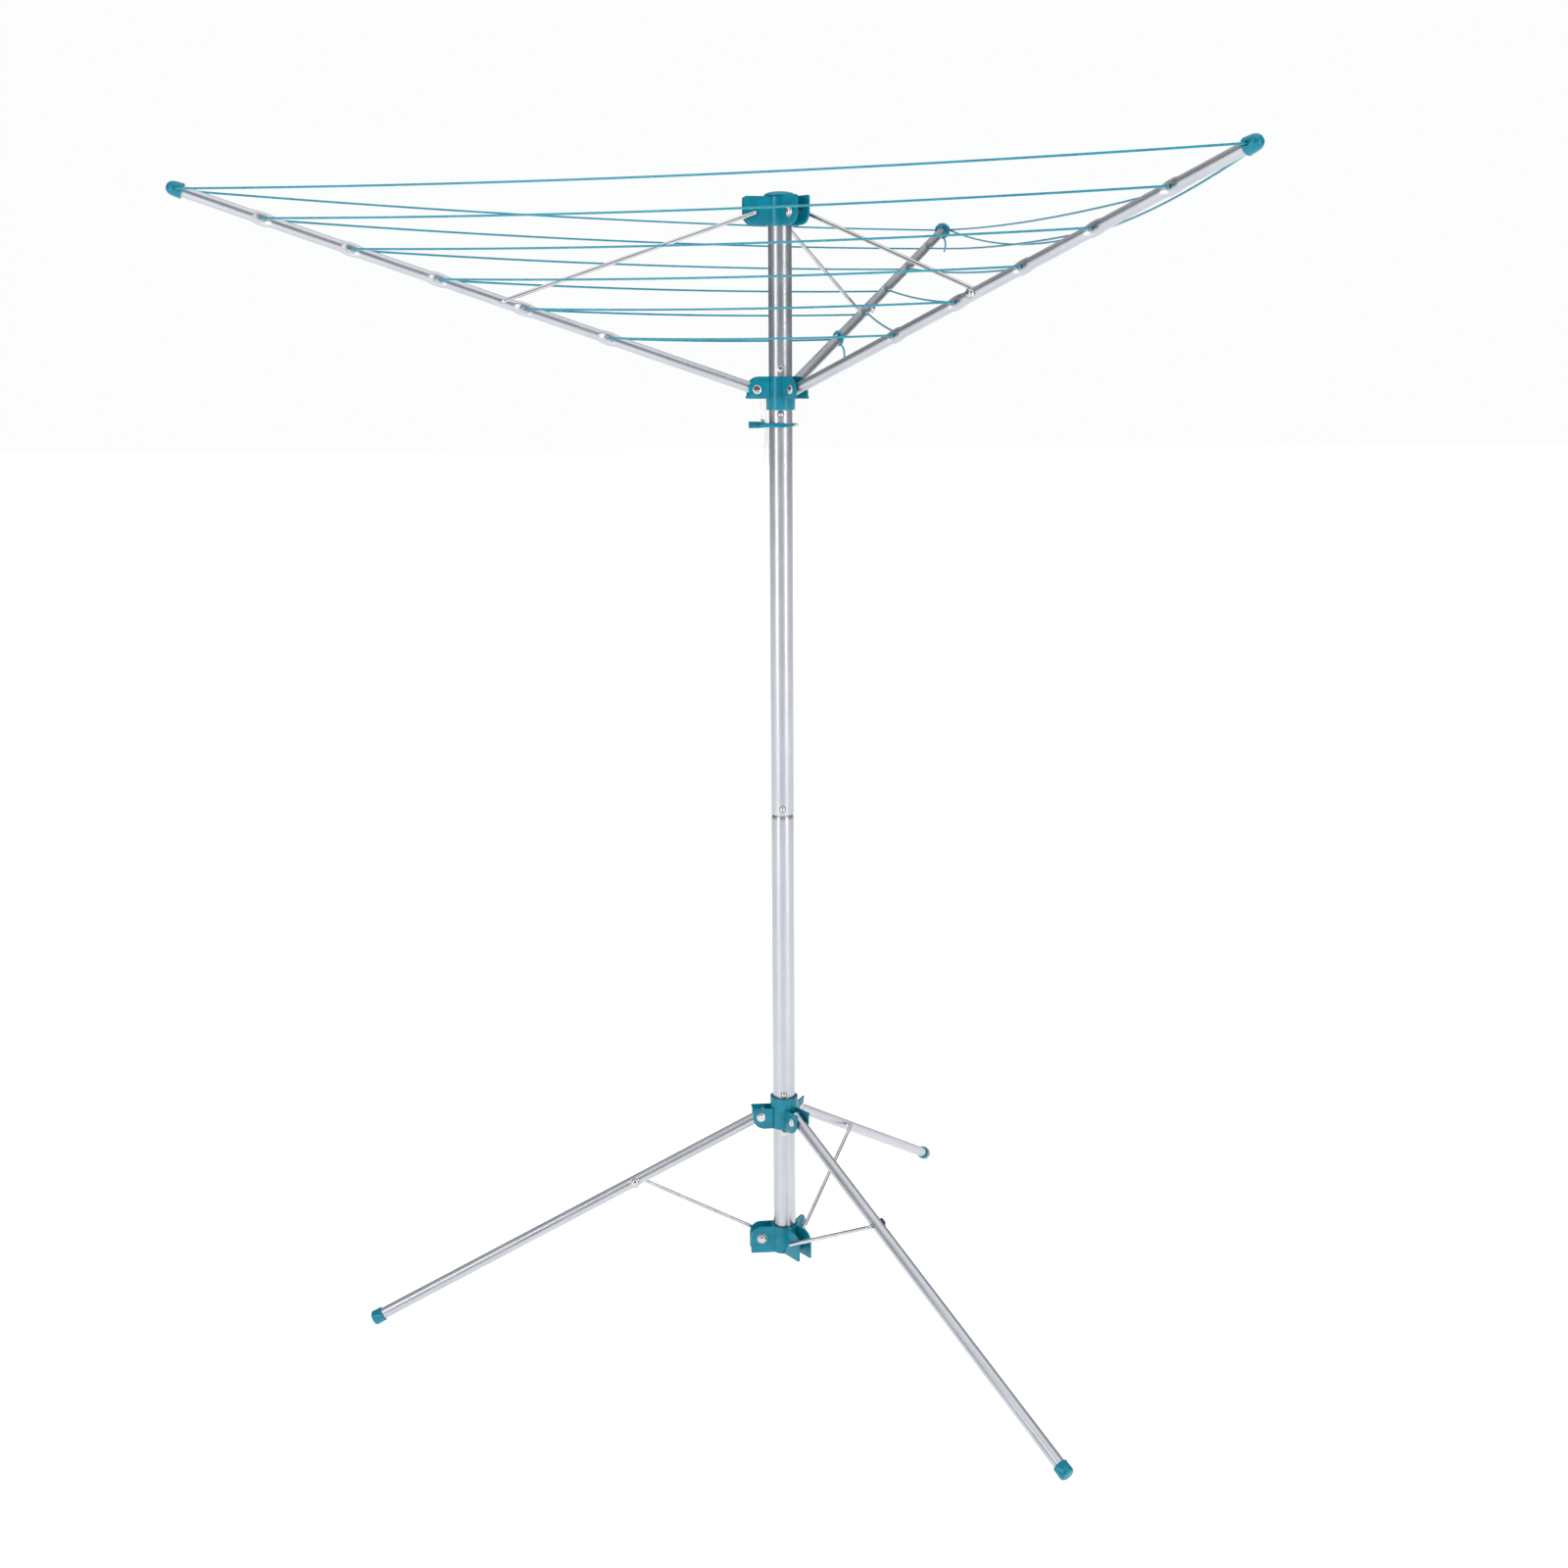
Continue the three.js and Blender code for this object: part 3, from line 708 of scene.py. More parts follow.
# ---------------------------------------------------------------- node trees
class Tree:
    """A Geometry Nodes tree built in place."""

    def __init__(self, name: str, inputs: dict[str, str]) -> None:
        """Start a tree whose first input and output are geometry.

        Args:
            name: The tree's name.
            inputs: Socket types by name.
        """
        self.tree = bpy.data.node_groups.new(name, "GeometryNodeTree")
        face = self.tree.interface
        face.new_socket("Geometry", in_out="INPUT", socket_type="NodeSocketGeometry")
        self.names = {
            key: face.new_socket(key, in_out="INPUT", socket_type=kind).identifier
            for key, kind in inputs.items()
        }
        face.new_socket("Geometry", in_out="OUTPUT", socket_type="NodeSocketGeometry")
        self.start = self.tree.nodes.new("NodeGroupInput")
        self.end = self.tree.nodes.new("NodeGroupOutput")

    def add(
        self,
        kind: str,
        settings: dict[str, object] | None = None,
        inputs: dict[str | int, object] | None = None,
    ) -> bpy.types.Node:
        """Add a node, set it up, then fill its sockets.

        Args:
            kind: The node's type.
            settings: Its properties.
            inputs: Values or output sockets by socket name or number.

        Returns:
            The new node.
        """
        node = self.tree.nodes.new(kind)
        for key, value in (settings or {}).items():
            setattr(node, key, value)
        for key, value in (inputs or {}).items():
            if isinstance(value, bpy.types.NodeSocket):
                self.tree.links.new(value, node.inputs[key])
            else:
                node.inputs[key].default_value = value
        return node

    def close(self, geometry: bpy.types.NodeSocket) -> None:
        """End the tree in real, dressed geometry.

        Args:
            geometry: The socket that holds the result.
        """
        real = self.add("GeometryNodeRealizeInstances", inputs={0: geometry})
        dressed = self.add(
            "GeometryNodeSetMaterial",
            inputs={"Geometry": real.outputs[0], "Material": self.start.outputs["Material"]},
        )
        self.tree.links.new(dressed.outputs[0], self.end.inputs[0])

    def run(self, mesh: bpy.types.Mesh, name: str, **values: object) -> bpy.types.Object:
        """Run the tree on a mesh and keep the plain result.

        Args:
            mesh: What the tree starts from.
            name: The result's name.
            **values: Input values by name, with _ for a space.

        Returns:
            The plain object.
        """
        base = bpy.data.objects.new(name + "_base", mesh)
        bpy.context.collection.objects.link(base)
        modifier = base.modifiers.new("build", "NODES")
        modifier.node_group = self.tree
        for key, value in values.items():
            modifier[self.names[key.replace("_", " ")]] = value
        return frozen(base, name)


def strung_tree() -> Tree:
    """Return a tree that sweeps a coated line along a path and notes its lay.

    Returns:
        The tree.
    """
    tree = Tree(
        "strung_line",
        {"Radius": "NodeSocketFloat", "Sides": "NodeSocketInt", "Material": "NodeSocketMaterial"},
    )
    path = tree.add("GeometryNodeMeshToCurve", inputs={"Mesh": tree.start.outputs[0]})
    length = tree.add("GeometryNodeSplineParameter")
    marked = tree.add(
        "GeometryNodeStoreNamedAttribute",
        {"data_type": "FLOAT", "domain": "POINT"},
        {"Geometry": path.outputs[0], "Name": "distance", "Value": length.outputs["Length"]},
    )
    ring = tree.add(
        "GeometryNodeCurvePrimitiveCircle",
        inputs={"Resolution": tree.start.outputs["Sides"], "Radius": tree.start.outputs["Radius"]},
    )
    where = tree.add("GeometryNodeInputPosition")
    around = tree.add(
        "GeometryNodeStoreNamedAttribute",
        {"data_type": "FLOAT_VECTOR", "domain": "POINT"},
        {"Geometry": ring.outputs[0], "Name": "around", "Value": where.outputs[0]},
    )
    tube = tree.add(
        "GeometryNodeCurveToMesh",
        inputs={"Curve": marked.outputs[0], "Profile Curve": around.outputs[0], "Fill Caps": True},
    )
    read = tree.add(
        "GeometryNodeInputNamedAttribute", {"data_type": "FLOAT_VECTOR"}, {"Name": "around"}
    )
    parts = tree.add("ShaderNodeSeparateXYZ", inputs={0: read.outputs[0]})
    run = tree.add("GeometryNodeInputNamedAttribute", {"data_type": "FLOAT"}, {"Name": "distance"})
    both = tree.add(
        "ShaderNodeCombineXYZ", inputs={0: parts.outputs[0], 1: parts.outputs[1], 2: run.outputs[0]}
    )
    laid = tree.add(
        "GeometryNodeStoreNamedAttribute",
        {"data_type": "FLOAT_VECTOR", "domain": "POINT"},
        {"Geometry": tube.outputs[0], "Name": "lay", "Value": both.outputs[0]},
    )
    even = tree.add("GeometryNodeSetShadeSmooth", inputs={"Geometry": laid.outputs[0]})
    tree.close(even.outputs[0])
    return tree


def fastener_tree() -> Tree:
    """Return a tree that sets a copy of a fastener on every point, turned to face outwards.

    Returns:
        The tree.
    """
    tree = Tree(
        "set_fasteners", {"Fastener": "NodeSocketObject", "Material": "NodeSocketMaterial"}
    )
    points = tree.add("GeometryNodeMeshToPoints", inputs={"Mesh": tree.start.outputs[0]})
    source = tree.add(
        "GeometryNodeObjectInfo",
        {"transform_space": "ORIGINAL"},
        {"Object": tree.start.outputs["Fastener"], "As Instance": True},
    )
    facing = tree.add(
        "GeometryNodeInputNamedAttribute", {"data_type": "FLOAT_VECTOR"}, {"Name": "facing"}
    )
    turn = tree.add(
        "FunctionNodeAlignRotationToVector", {"axis": "Z"}, {"Vector": facing.outputs[0]}
    )
    copies = tree.add(
        "GeometryNodeInstanceOnPoints",
        inputs={
            "Points": points.outputs[0],
            "Instance": source.outputs["Geometry"],
            "Rotation": turn.outputs[0],
        },
    )
    tree.close(copies.outputs[0])
    return tree


def rib_tree() -> Tree:
    """Return a tree that sets rounded ribs in a ring round Z.

    Returns:
        The tree.
    """
    tree = Tree(
        "ring_of_ribs",
        {
            "Count": "NodeSocketInt",
            "Ring": "NodeSocketFloat",
            "Width": "NodeSocketFloat",
            "Height": "NodeSocketFloat",
            "Material": "NodeSocketMaterial",
        },
    )
    get = tree.start.outputs
    ring = tree.add(
        "GeometryNodeMeshCircle", inputs={"Vertices": get["Count"], "Radius": get["Ring"]}
    )
    rib = tree.add(
        "GeometryNodeMeshCylinder",
        inputs={"Vertices": 10, "Radius": get["Width"], "Depth": get["Height"]},
    )
    copies = tree.add(
        "GeometryNodeInstanceOnPoints",
        inputs={"Points": ring.outputs[0], "Instance": rib.outputs[0]},
    )
    tree.close(copies.outputs[0])
    return tree


# ---------------------------------------------------------------- the frame's own facts
@dataclass
class Branch:
    """One arm or leg with its rod: where its three pivots are."""

    number: int
    out: Vector
    side: Vector
    hub: Vector
    elbow: Vector
    slide: Vector

    def along(self, start: Vector) -> Matrix:
        """Give the frame of a bar that runs from a pivot to the elbow.

        Args:
            start: The pivot, either the hub's or the slider's.

        Returns:
            Its X along the bar, Y square to the branch's plane.
        """
        x = (self.elbow - start).normalized()
        y = self.side
        z = x.cross(y)
        turn = Matrix((x, y, z)).transposed().to_4x4()
        return Matrix.Translation(start) @ turn


class Facts:
    """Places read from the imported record."""

    def __init__(self) -> None:
        """Read the joints."""
        self.joints = {j["name"]: j for j in frame["record"]["behaviour"]["joints"]}
        self.arms = self.branches(("head_fold", "rod_fold_{}"), "arm_fold_{}", "slider_pivot", 1)
        stays = ("tripod_fold", "stay_fold_{}")
        self.legs = self.branches(stays, "leg_fold_{}", "collar_pivot", -1)
        self.fold = math.radians(self.joints["head_fold"]["range_deg"][1])

    def at(self, joint: str) -> Vector:
        """Return a joint's place."""
        return Vector(self.joints[joint]["pos_m"])

    def branches(self, rods: tuple[str, str], elbows: str, slide: str, sign: int) -> list[Branch]:
        """Read three branches.

        Args:
            rods: The first rod's joint, and the others' pattern.
            elbows: The pattern of the elbow joints.
            slide: The joint that carries the sliding hub.
            sign: 1 if the hinges' axes point along each branch's side, or -1.

        Returns:
            The branches in order.
        """
        low = self.at(slide)
        reach = math.hypot(low.x, low.y)
        made = []
        for n in (1, 2, 3):
            rod = rods[0] if n == 1 else rods[1].format(n)
            side = sign * Vector(self.joints[rod]["axis"]).normalized()
            out = side.cross(UP)
            slider = out * reach + UP * low.z
            made.append(Branch(n, out, side, self.at(rod), self.at(elbows.format(n)), slider))
        return made


def middle(node: str) -> Vector:
    """Return the middle of a CAD node's box."""
    low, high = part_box(node)
    return (Vector(low) + Vector(high)) / 2


def settle(
    piece: bpy.types.Object, body: str, slot: Slot, nodes: list[str] | None = None
) -> bpy.types.Object:
    """Hand a finished piece to the frame.

    Args:
        piece: The piece.
        body: The body it rides on.
        slot: Its material slot, which is not used.
        nodes: The CAD nodes it stands for.

    Returns:
        The piece.
    """
    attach(piece, body)
    if nodes:
        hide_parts(*nodes)
    LOG.info("%s rides on %s", piece.name, body)
    return piece


@dataclass
class Kit:
    """The finishes and node trees that every sub-assembly shares."""

    looks: dict[Slot, bpy.types.Material]
    strung: Tree = field(default_factory=strung_tree)
    fasteners: Tree = field(default_factory=fastener_tree)
    ribs: Tree = field(default_factory=rib_tree)

    def copies(
        self, name: str, proto: bpy.types.Object, spots: list[tuple[Vector, Vector]]
    ) -> bpy.types.Object:
        """Set copies of a fastener.

        Args:
            name: The result's name.
            proto: The fastener, facing +Z.
            spots: Places and the ways the copies face.

        Returns:
            One plain mesh.
        """
        mesh = bpy.data.meshes.new(name + "_spots")
        mesh.from_pydata([p for p, _ in spots], [], [])
        facing = mesh.attributes.new("facing", "FLOAT_VECTOR", "POINT")
        for item, (_, way) in zip(facing.data, spots):
            item.vector = way
        made = self.fasteners.run(mesh, name, Fastener=proto, Material=self.looks[Slot.STEEL])
        made.data.shade_smooth()
        made.data.set_sharp_from_angle(angle=math.radians(38))
        return made

    def line(
        self, name: str, path: list[Vector], radius: float, look: Slot, sides: int = 12
    ) -> bpy.types.Object:
        """Lay a cord along a path.

        Args:
            name: The result's name.
            path: Points in metres.
            radius: The cord's radius in metres.
            look: Its finish.
            sides: Sides of its section.

        Returns:
            One plain mesh.
        """
        mesh = bpy.data.meshes.new(name + "_path")
        mesh.from_pydata(path, [(i, i + 1) for i in range(len(path) - 1)], [])
        made = self.strung.run(mesh, name, Radius=radius, Sides=sides, Material=self.looks[look])
        return made


# ---------------------------------------------------------------- pole
@dataclass
class Pole:
    """Two telescoped tubes with their snap buttons and stop rivets. Sizes in millimetres."""

    kit: Kit
    radius: float = 16.0
    wall: float = 1.4
    spigot: float = 62.0
    button: float = 4.3
    button_out: float = 2.4
    stop_shank: float = 2.0
    stop_head: float = 4.9
    pin_hole: float = 2.6
    gap: float = 0.3

    def drill(self, drills: Shell, r: float, z: float) -> None:
        """Add a hole from the front to the pole's middle.

        Args:
            drills: The shell that gathers them.
            r: The hole's radius.
            z: Its height.
        """
        place = Matrix.Translation((0, 0, z * MM)) @ Matrix.Rotation(math.pi / 2, 4, "X")
        drills.turned([(0, 0), (r, 0), (r, self.radius + 4), (0, self.radius + 4)], place, 28)

    def build(self) -> None:
        """Build and dress the pole."""
        look = self.kit.looks
        low, high = (v.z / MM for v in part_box("pole_lower"))
        seam = high - self.spigot
        inner, bore = self.radius - self.wall, self.radius - self.wall - self.gap
        lower = eased(
            [
                (inner, low),
                (self.radius, low),
                (self.radius, seam - 6),
                (self.radius - 0.35, seam - 3.4),
                (self.radius - 1, seam - 1.4),
                (bore, seam - 0.4),
                (bore, high - 2),
                (bore - 0.7, high),
                (bore - self.wall, high),
                (bore - self.wall, seam - 3),
                (inner, seam - 9),
            ],
            0.5,
            ring=True,
        )
        joint = middle("pole_button").z / MM
        collar = middle("collar_button").z / MM
        drills = Shell()
        stop = middle("leg_stop_rivet").z / MM
        for r, z in ((self.button, joint), (self.button, collar), (self.stop_shank, stop)):
            self.drill(drills, r + self.gap, z)
        tube = Shell().turned(lower, sides=96, wall=True).ready("pole_lower_tube", look[Slot.TUBE])
        settle(drilled(tube, drills), "base", Slot.TUBE, ["pole_lower"])

        low, high = (v.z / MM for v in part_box("pole_upper"))
        upper = eased(
            [(inner, low), (self.radius, low), (self.radius, high), (inner, high)], 0.35, ring=True
        )
        drills = Shell()
        slider = middle("slider_button").z / MM
        stop = middle("arm_stop_rivet").z / MM
        for r, z in ((self.button, joint), (self.button, slider), (self.stop_shank, stop)):
            self.drill(drills, r + self.gap, z)
        pin = middle("pin_shaft").z
        place = Matrix.Translation((0, 0, pin)) @ Matrix.Rotation(math.pi / 2, 4, "Y")
        r, past = self.pin_hole, self.radius + 8
        drills.turned([(0, -past), (r, -past), (r, past), (0, past)], place, 28)
        tube = Shell().turned(upper, sides=96, wall=True).ready("pole_upper_tube", look[Slot.TUBE])
        settle(drilled(tube, drills), "upper_pole", Slot.TUBE, ["pole_upper"])
        self.build_buttons(bore)

    def build_buttons(self, bore: float) -> None:
        """Build the snap buttons and the stop rivets.

        Args:
            bore: The radius inside the pole's lower section, at its spigot.
        """
        snaps = (
            ("slider_button", "slider_snap", self.radius - self.wall),
            ("collar_button", "collar_snap", self.radius - self.wall),
            ("pole_button", "pole_snap", bore - self.wall),
        )
        for node, body, inner in snaps:
            flange = self.button + 1.3
            face = math.sqrt(inner**2 - flange**2) - self.gap
            dome = self.radius - 0.6
            rise = self.button_out + 0.6
            profile = [
                (0, face - 3),
                (self.button - 1, face - 3),
                (self.button - 1, face - 1.2),
                (flange, face - 1.2),
                (flange, face),
                (self.button, face),
                (self.button, dome),
            ]
            profile = eased(profile, 0.2)
            profile += [(r, dome + z) for r, z in self.dome(self.button, rise)]
            made = Shell().turned(profile, self.facing_front(node), 40)
            settle(made.ready(node + "_dome", self.kit.looks[Slot.STEEL]), body, Slot.STEEL, [node])
        for node, body in (("arm_stop_rivet", "upper_pole"), ("leg_stop_rivet", "base")):
            start = self.radius - self.wall - 2
            base = self.radius + self.gap
            shank, head = self.stop_shank, self.stop_head
            profile = [(0, start), (shank, start), (shank, base)]
            profile += [(head - 0.2, base), (head, base + 0.2), (head, base + 0.45)]
            profile += [(r, base + 0.5 + z) for r, z in self.dome(head, 1.7)[1:]]
            made = Shell().turned(profile, self.facing_front(node), 40)
            settle(made.ready(node + "_head", self.kit.looks[Slot.STEEL]), body, Slot.STEEL, [node])

    def facing_front(self, node: str) -> Matrix:
        """Give the frame at a front fastener's height, with Z along the way it faces."""
        z = middle(node).z
        return Matrix.Translation((0, 0, z)) @ Matrix.Rotation(math.pi / 2, 4, "X")

    @staticmethod
    def dome(r: float, rise: float, steps: int = 9) -> Outline:
        """Return the corners of a dome from its rim to its top."""
        turn = [math.pi / 2 * k / steps for k in range(steps + 1)]
        return [
            (r * math.cos(t) if k < steps else 0.0, rise * math.sin(t)) for k, t in enumerate(turn)
        ]


# ---------------------------------------------------------------- mouldings
@dataclass
class Mouldings:
    """The four hubs and the top cap. Sizes in millimetres."""

    facts: Facts
    kit: Kit
    pole: float = 16.0
    ear_in: float = 8.7
    ear_out: float = 11.7
    end_ear: float = 50.0
    end_up: float = 22.0
    end_down: float = 17.0
    socket: float = 19.5
    slide_ear: float = 45.5
    slide_up: float = 17.5
    slide_yoke: float = 12.5
    slide_down: float = 28.0
    sleeve: float = 19.9
    bore: float = 16.8
    relief: float = 18.9
    rod: float = 2.8
    rivet: float = 2.5
    gap: float = 0.3
    edge: float = 0.75

    def end_outline(self) -> Outline:
        """Return one ear of an end hub, with its pivot at height 0.

        Returns:
            Millimetre corners, anticlockwise.
        """
        r = 16.0
        x0 = math.sqrt((self.pole + 0.9) ** 2 - self.ear_in**2)
        return [
            (x0, -self.end_down),
            *arc(self.end_ear - r, r - self.end_down, r, -90, 0, 16),
            *arc(self.end_ear - 2.4, self.end_up - 2.4, 2.4, 0, 90, 5),
            (x0, self.end_up),
        ]

    def slide_outline(self) -> Outline:
        """Return one ear of a sliding hub, with its pivot at height 0.

        Returns:
            Millimetre corners, anticlockwise.
        """
        r = self.slide_up - 1
        x0 = math.sqrt(self.relief**2 - self.ear_in**2) + 0.1
        low = -self.slide_yoke
        return [
            (x0, low),
            (self.slide_ear + 1.2, low),
            (self.slide_ear + 1.5, low + 0.4),
            (self.slide_ear + 1.5, low + 2.6),
            (self.slide_ear + 1.1, low + 3.2),
            (self.slide_ear, low + 4.6),
            *arc(self.slide_ear - r, self.slide_up - r, r, 0, 90, 14),
            (x0, self.slide_up),
        ]

    def ears(self, shell: Shell, outline: Outline, place: Matrix) -> None:
        """Add a pair of ears on either side of a branch.

        Args:
            shell: The shell that gathers them.
            outline: One ear's outline.
            place: The frame at the pivot circle's centre, with X outwards.
        """
        shell.plate(outline, self.ear_in, self.ear_out, self.edge, place)
        shell.plate(outline, -self.ear_out, -self.ear_in, self.edge, place)

    def hub(
        self,
        name: str,
        sleeve: Outline,
        outline: Outline,
        branches: list[Branch],
        height: float,
        flip: bool,
        hole: float,
    ) -> bpy.types.Object:
        """Build one hub.

        Args:
            name: The hub's name.
            sleeve: The wall round the pole, as a closed profile.
            outline: One ear's outline.
            branches: The branches that it carries.
            height: Its pivots' height in metres.
            flip: Whether it stands upside down.
            hole: The radius of its pivot holes.

        Returns:
            The hub.
        """
        look = self.kit.looks[Slot.TEAL]
        turn = Matrix.Rotation(math.pi, 4, "X") if flip else Matrix.Identity(4)
        centre = Matrix.Translation((0, 0, height))
        shell = Shell()
        shell.turned(eased(sleeve, 0.7, ring=True), centre @ turn, 72, True)
        drills = Shell()
        for b in branches:
            basis = Matrix((b.out, b.side, UP)).transposed().to_4x4()
            self.ears(shell, outline, centre @ basis @ turn)
            reach = b.hub.xy.length / MM
            profile, place = across(reach, hole, self.ear_out + 2)
            drills.turned(profile, centre @ basis @ place, 28)
        made = shell.ready(name, look)
        return drilled(made, drills)

    def build(self) -> None:
        """Build and dress every hub and the cap."""
        lip = self.pole + 0.4
        end_sleeve = [
            (lip, -self.end_down),
            (self.socket, -self.end_down),
            (self.socket, self.end_up),
            (lip, self.end_up),
        ]
        land, ramp = 4.0, self.relief - self.bore
        slide_sleeve = [
            (self.bore, -self.slide_down),
            (self.sleeve, -self.slide_down),
            (self.sleeve, self.slide_up),
            (self.bore, self.slide_up),
            (self.bore, self.slide_up - land),
            (self.relief, self.slide_up - land - ramp),
            (self.relief, -self.slide_down + land + ramp),
            (self.bore, -self.slide_down + land),
        ]
        arms, legs = self.facts.arms, self.facts.legs
        end, slide = self.end_outline(), self.slide_outline()
        top, foot = arms[0].hub.z, legs[0].hub.z
        hubs = (
            ("hub_top", "head", end_sleeve, end, arms, top, False, self.rod),
            ("hub_base", "base", end_sleeve, end, legs, foot, True, self.rod),
            ("arm_slider", "slider", slide_sleeve, slide, arms, arms[0].slide.z, False, self.rivet),
            ("leg_collar", "collar", slide_sleeve, slide, legs, legs[0].slide.z, True, self.rivet),
        )
        for node, body, sleeve, outline, branches, height, flip, hole in hubs:
            name, bore = node + "_moulding", hole + self.gap
            made = self.hub(name, sleeve, outline, branches, height, flip, bore)
            settle(made, body, Slot.TEAL, [node])
        cap = [
            (0, 14.0),
            (self.pole - 0.6, 14.0),
            (self.pole - 0.2, 14.4),
            (self.pole - 0.2, self.end_up + self.gap),
            (self.pole + 5.0, self.end_up + self.gap),
            (self.pole + 5.5, self.end_up + 0.9),
            (self.pole + 5.3, self.end_up + 2.0),
            (self.pole + 4.2, self.end_up + 3.5),
            (self.pole + 1.4, self.end_up + 4.9),
            (self.pole - 3.5, self.end_up + 6.1),
            (self.pole - 9.0, self.end_up + 6.8),
            (0, self.end_up + 7.2),
        ]
        made = Shell().turned(eased(cap, 1.2), Matrix.Translation((0, 0, top)), 72)
        made = made.ready("hub_cap_dome", self.kit.looks[Slot.TEAL])
        settle(made, "head", Slot.TEAL, ["hub_cap"])


# ---------------------------------------------------------------- tubes, rods and their ends
@dataclass
class Bars:
    """Arms, legs, their end pieces, rods and fasteners. Sizes in millimetres."""

    facts: Facts
    kit: Kit
    arm_r: float = 7.5
    leg_r: float = 8.0
    wall: float = 1.2
    first_hole: float = 212.5
    pitch: float = 118.15
    eyelets: int = 5
    arm_tip: float = 811.0
    tip_cap: float = 21.5
    tip_r: float = 10.4
    leg_tube: float = 607.4
    foot_r: float = 10.2
    foot_reach: float = 10.1
    foot_flat: float = 6.4
    foot_corner: float = 4.0
    rod_r: float = 2.8
    bend: float = 4.5
    ear_out: float = 11.7
    rivet_r: float = 2.5
    rivet_head: float = 6.6
    star_r: float = 7.2
    star_h: float = 4.5
    hole: float = 2.4
    gap: float = 0.3

    def holes(self) -> list[float]:
        """Return the line holes' distances from the slider's pivot, innermost first."""
        return [self.first_hole + i * self.pitch for i in range(self.eyelets)]

    def tube(
        self, name: str, x0: float, x1: float, r: float, eyelets: list[float], place: Matrix
    ) -> bpy.types.Object:
        """Build a tube that is pressed flat and tall at each eyelet.

        Args:
            name: The tube's name.
            x0: Where it starts.
            x1: Where it ends.
            r: Its radius.
            eyelets: Where it is pressed.
            place: Its frame.

        Returns:
            The open tube.
        """
        flat, tall, reach, sides = 0.64, 1.22, 15.0, 40
        steps = [k / 8 for k in range(-8, 9)]
        pressed = [e + s * reach for e in eyelets for s in steps]
        stations = sorted([x0, x0 + 0.3, x1 - 0.3, x1] + pressed)

        def ring(x: float, inner: float) -> list[Vector]:
            """Return one section of the tube.

            Args:
                x: The section's place.
                inner: How far inside the outer skin it is.

            Returns:
                Its points in metres.
            """
            near = min([abs(x - e) for e in eyelets] + [reach])
            press = 1 - smooth_step((near - reach * 0.24) / (reach * 0.76))
            wide = r * (1 + (flat - 1) * press) - inner
            high = r * (1 + (tall - 1) * press) - inner
            turn = [2 * math.pi * (k + 0.5) / sides for k in range(sides)]
            return [Vector((x, wide * math.cos(t), high * math.sin(t))) * MM for t in turn]

        edge = {x0: 0.25, x1: 0.25}
        outer = [ring(x, edge.get(x, 0.0)) for x in stations]
        inner = [ring(x, self.wall) for x in reversed(stations)]
        return Shell().skin(outer + inner, place, True).ready(name, self.kit.looks[Slot.TUBE])

    def thimble(
        self,
        name: str,
        x0: float,
        r: float,
        nose: Outline,
        bore: tuple[float, float],
        place: Matrix,
    ) -> bpy.types.Object:
        """Build a moulded end piece: a beaded skirt, a nose and a blind bore.

        Args:
            name: Its name.
            x0: Where its skirt starts.
            r: Its skirt's radius.
            nose: The rest of its outline, as (radius, distance), out to its end.
            bore: The bore's radius and depth.
            place: The bar's frame.

        Returns:
            The end piece.
        """
        wide, deep = bore
        profile = [(wide, x0), (r - 0.7, x0), (r - 0.15, x0 + 0.3), (r, x0 + 0.9), (r, x0 + 1.9)]
        profile += [(r - 0.3, x0 + 2.4), *nose]
        profile += [(0, x0 + deep), (wide - 0.5, x0 + deep), (wide, x0 + deep - 0.5)]
        spin = Matrix.Rotation(math.pi / 2, 4, "Y")
        made = Shell().turned(profile, place @ spin, 48, True)
        return made.ready(name, self.kit.looks[Slot.TEAL], 42.0)

    def rod_path(self, length: float, side: Side, tube_r: float) -> list[Vector]:
        """Return a rod's path, bent square through both of its parts.

        Args:
            length: Between its pivots, in millimetres.
            side: The side it runs on.
            tube_r: The radius of the bar that it joins.

        Returns:
            Points in metres, in the rod's own frame.
        """
        run = self.ear_out + self.bend + self.gap
        corners = [
            (0, -self.ear_out - 3.3),
            (0, run),
            (length, run),
            (length, -tube_r - 3.3),
        ]
        bent = eased(corners, self.bend, 9)
        return [Vector((x, side.value * y, 0)) * MM for x, y in bent]

    def star_cap(self) -> bpy.types.Object:
        """Return a push-on cap that faces +Z: a domed crown on a flange with pressed ribs.

        Returns:
            The cap.
        """
        r, h = self.star_r, self.star_h
        turn = [math.pi / 2 * k / 8 for k in range(9)]
        crown = r - 1.3
        profile = [
            (self.rod_r + self.gap, 0),
            (r - 0.2, 0),
            (r, 0.2),
            (r, 0.7),
            (r - 0.2, 0.9),
            (crown + 0.25, 1.05),
            *((crown * math.cos(t), 1.2 + (h - 1.2) * math.sin(t)) for t in turn[:-1]),
            (0, h),
        ]
        inside = [(0, 3.3), (self.rod_r + self.gap, 3.3)]
        crown_shell = Shell().turned(profile + inside, sides=40, wall=True)
        cap = crown_shell.ready("cap_crown", self.kit.looks[Slot.STEEL])
        blank = bpy.data.meshes.new("ribs")
        ribs = self.kit.ribs.run(
            blank, "cap_ribs", Count=10, Ring=(r - 0.75) * MM, Width=0.42 * MM, Height=2.2 * MM,
            Material=self.kit.looks[Slot.STEEL],
        )
        whole = bmesh.new()
        whole.from_mesh(cap.data)
        lifted = ribs.data.copy()
        lifted.transform(Matrix.Translation((0, 0, 1.25 * MM)))
        whole.from_mesh(lifted)
        whole.to_mesh(cap.data)
        whole.free()
        bpy.data.objects.remove(ribs)
        return cap

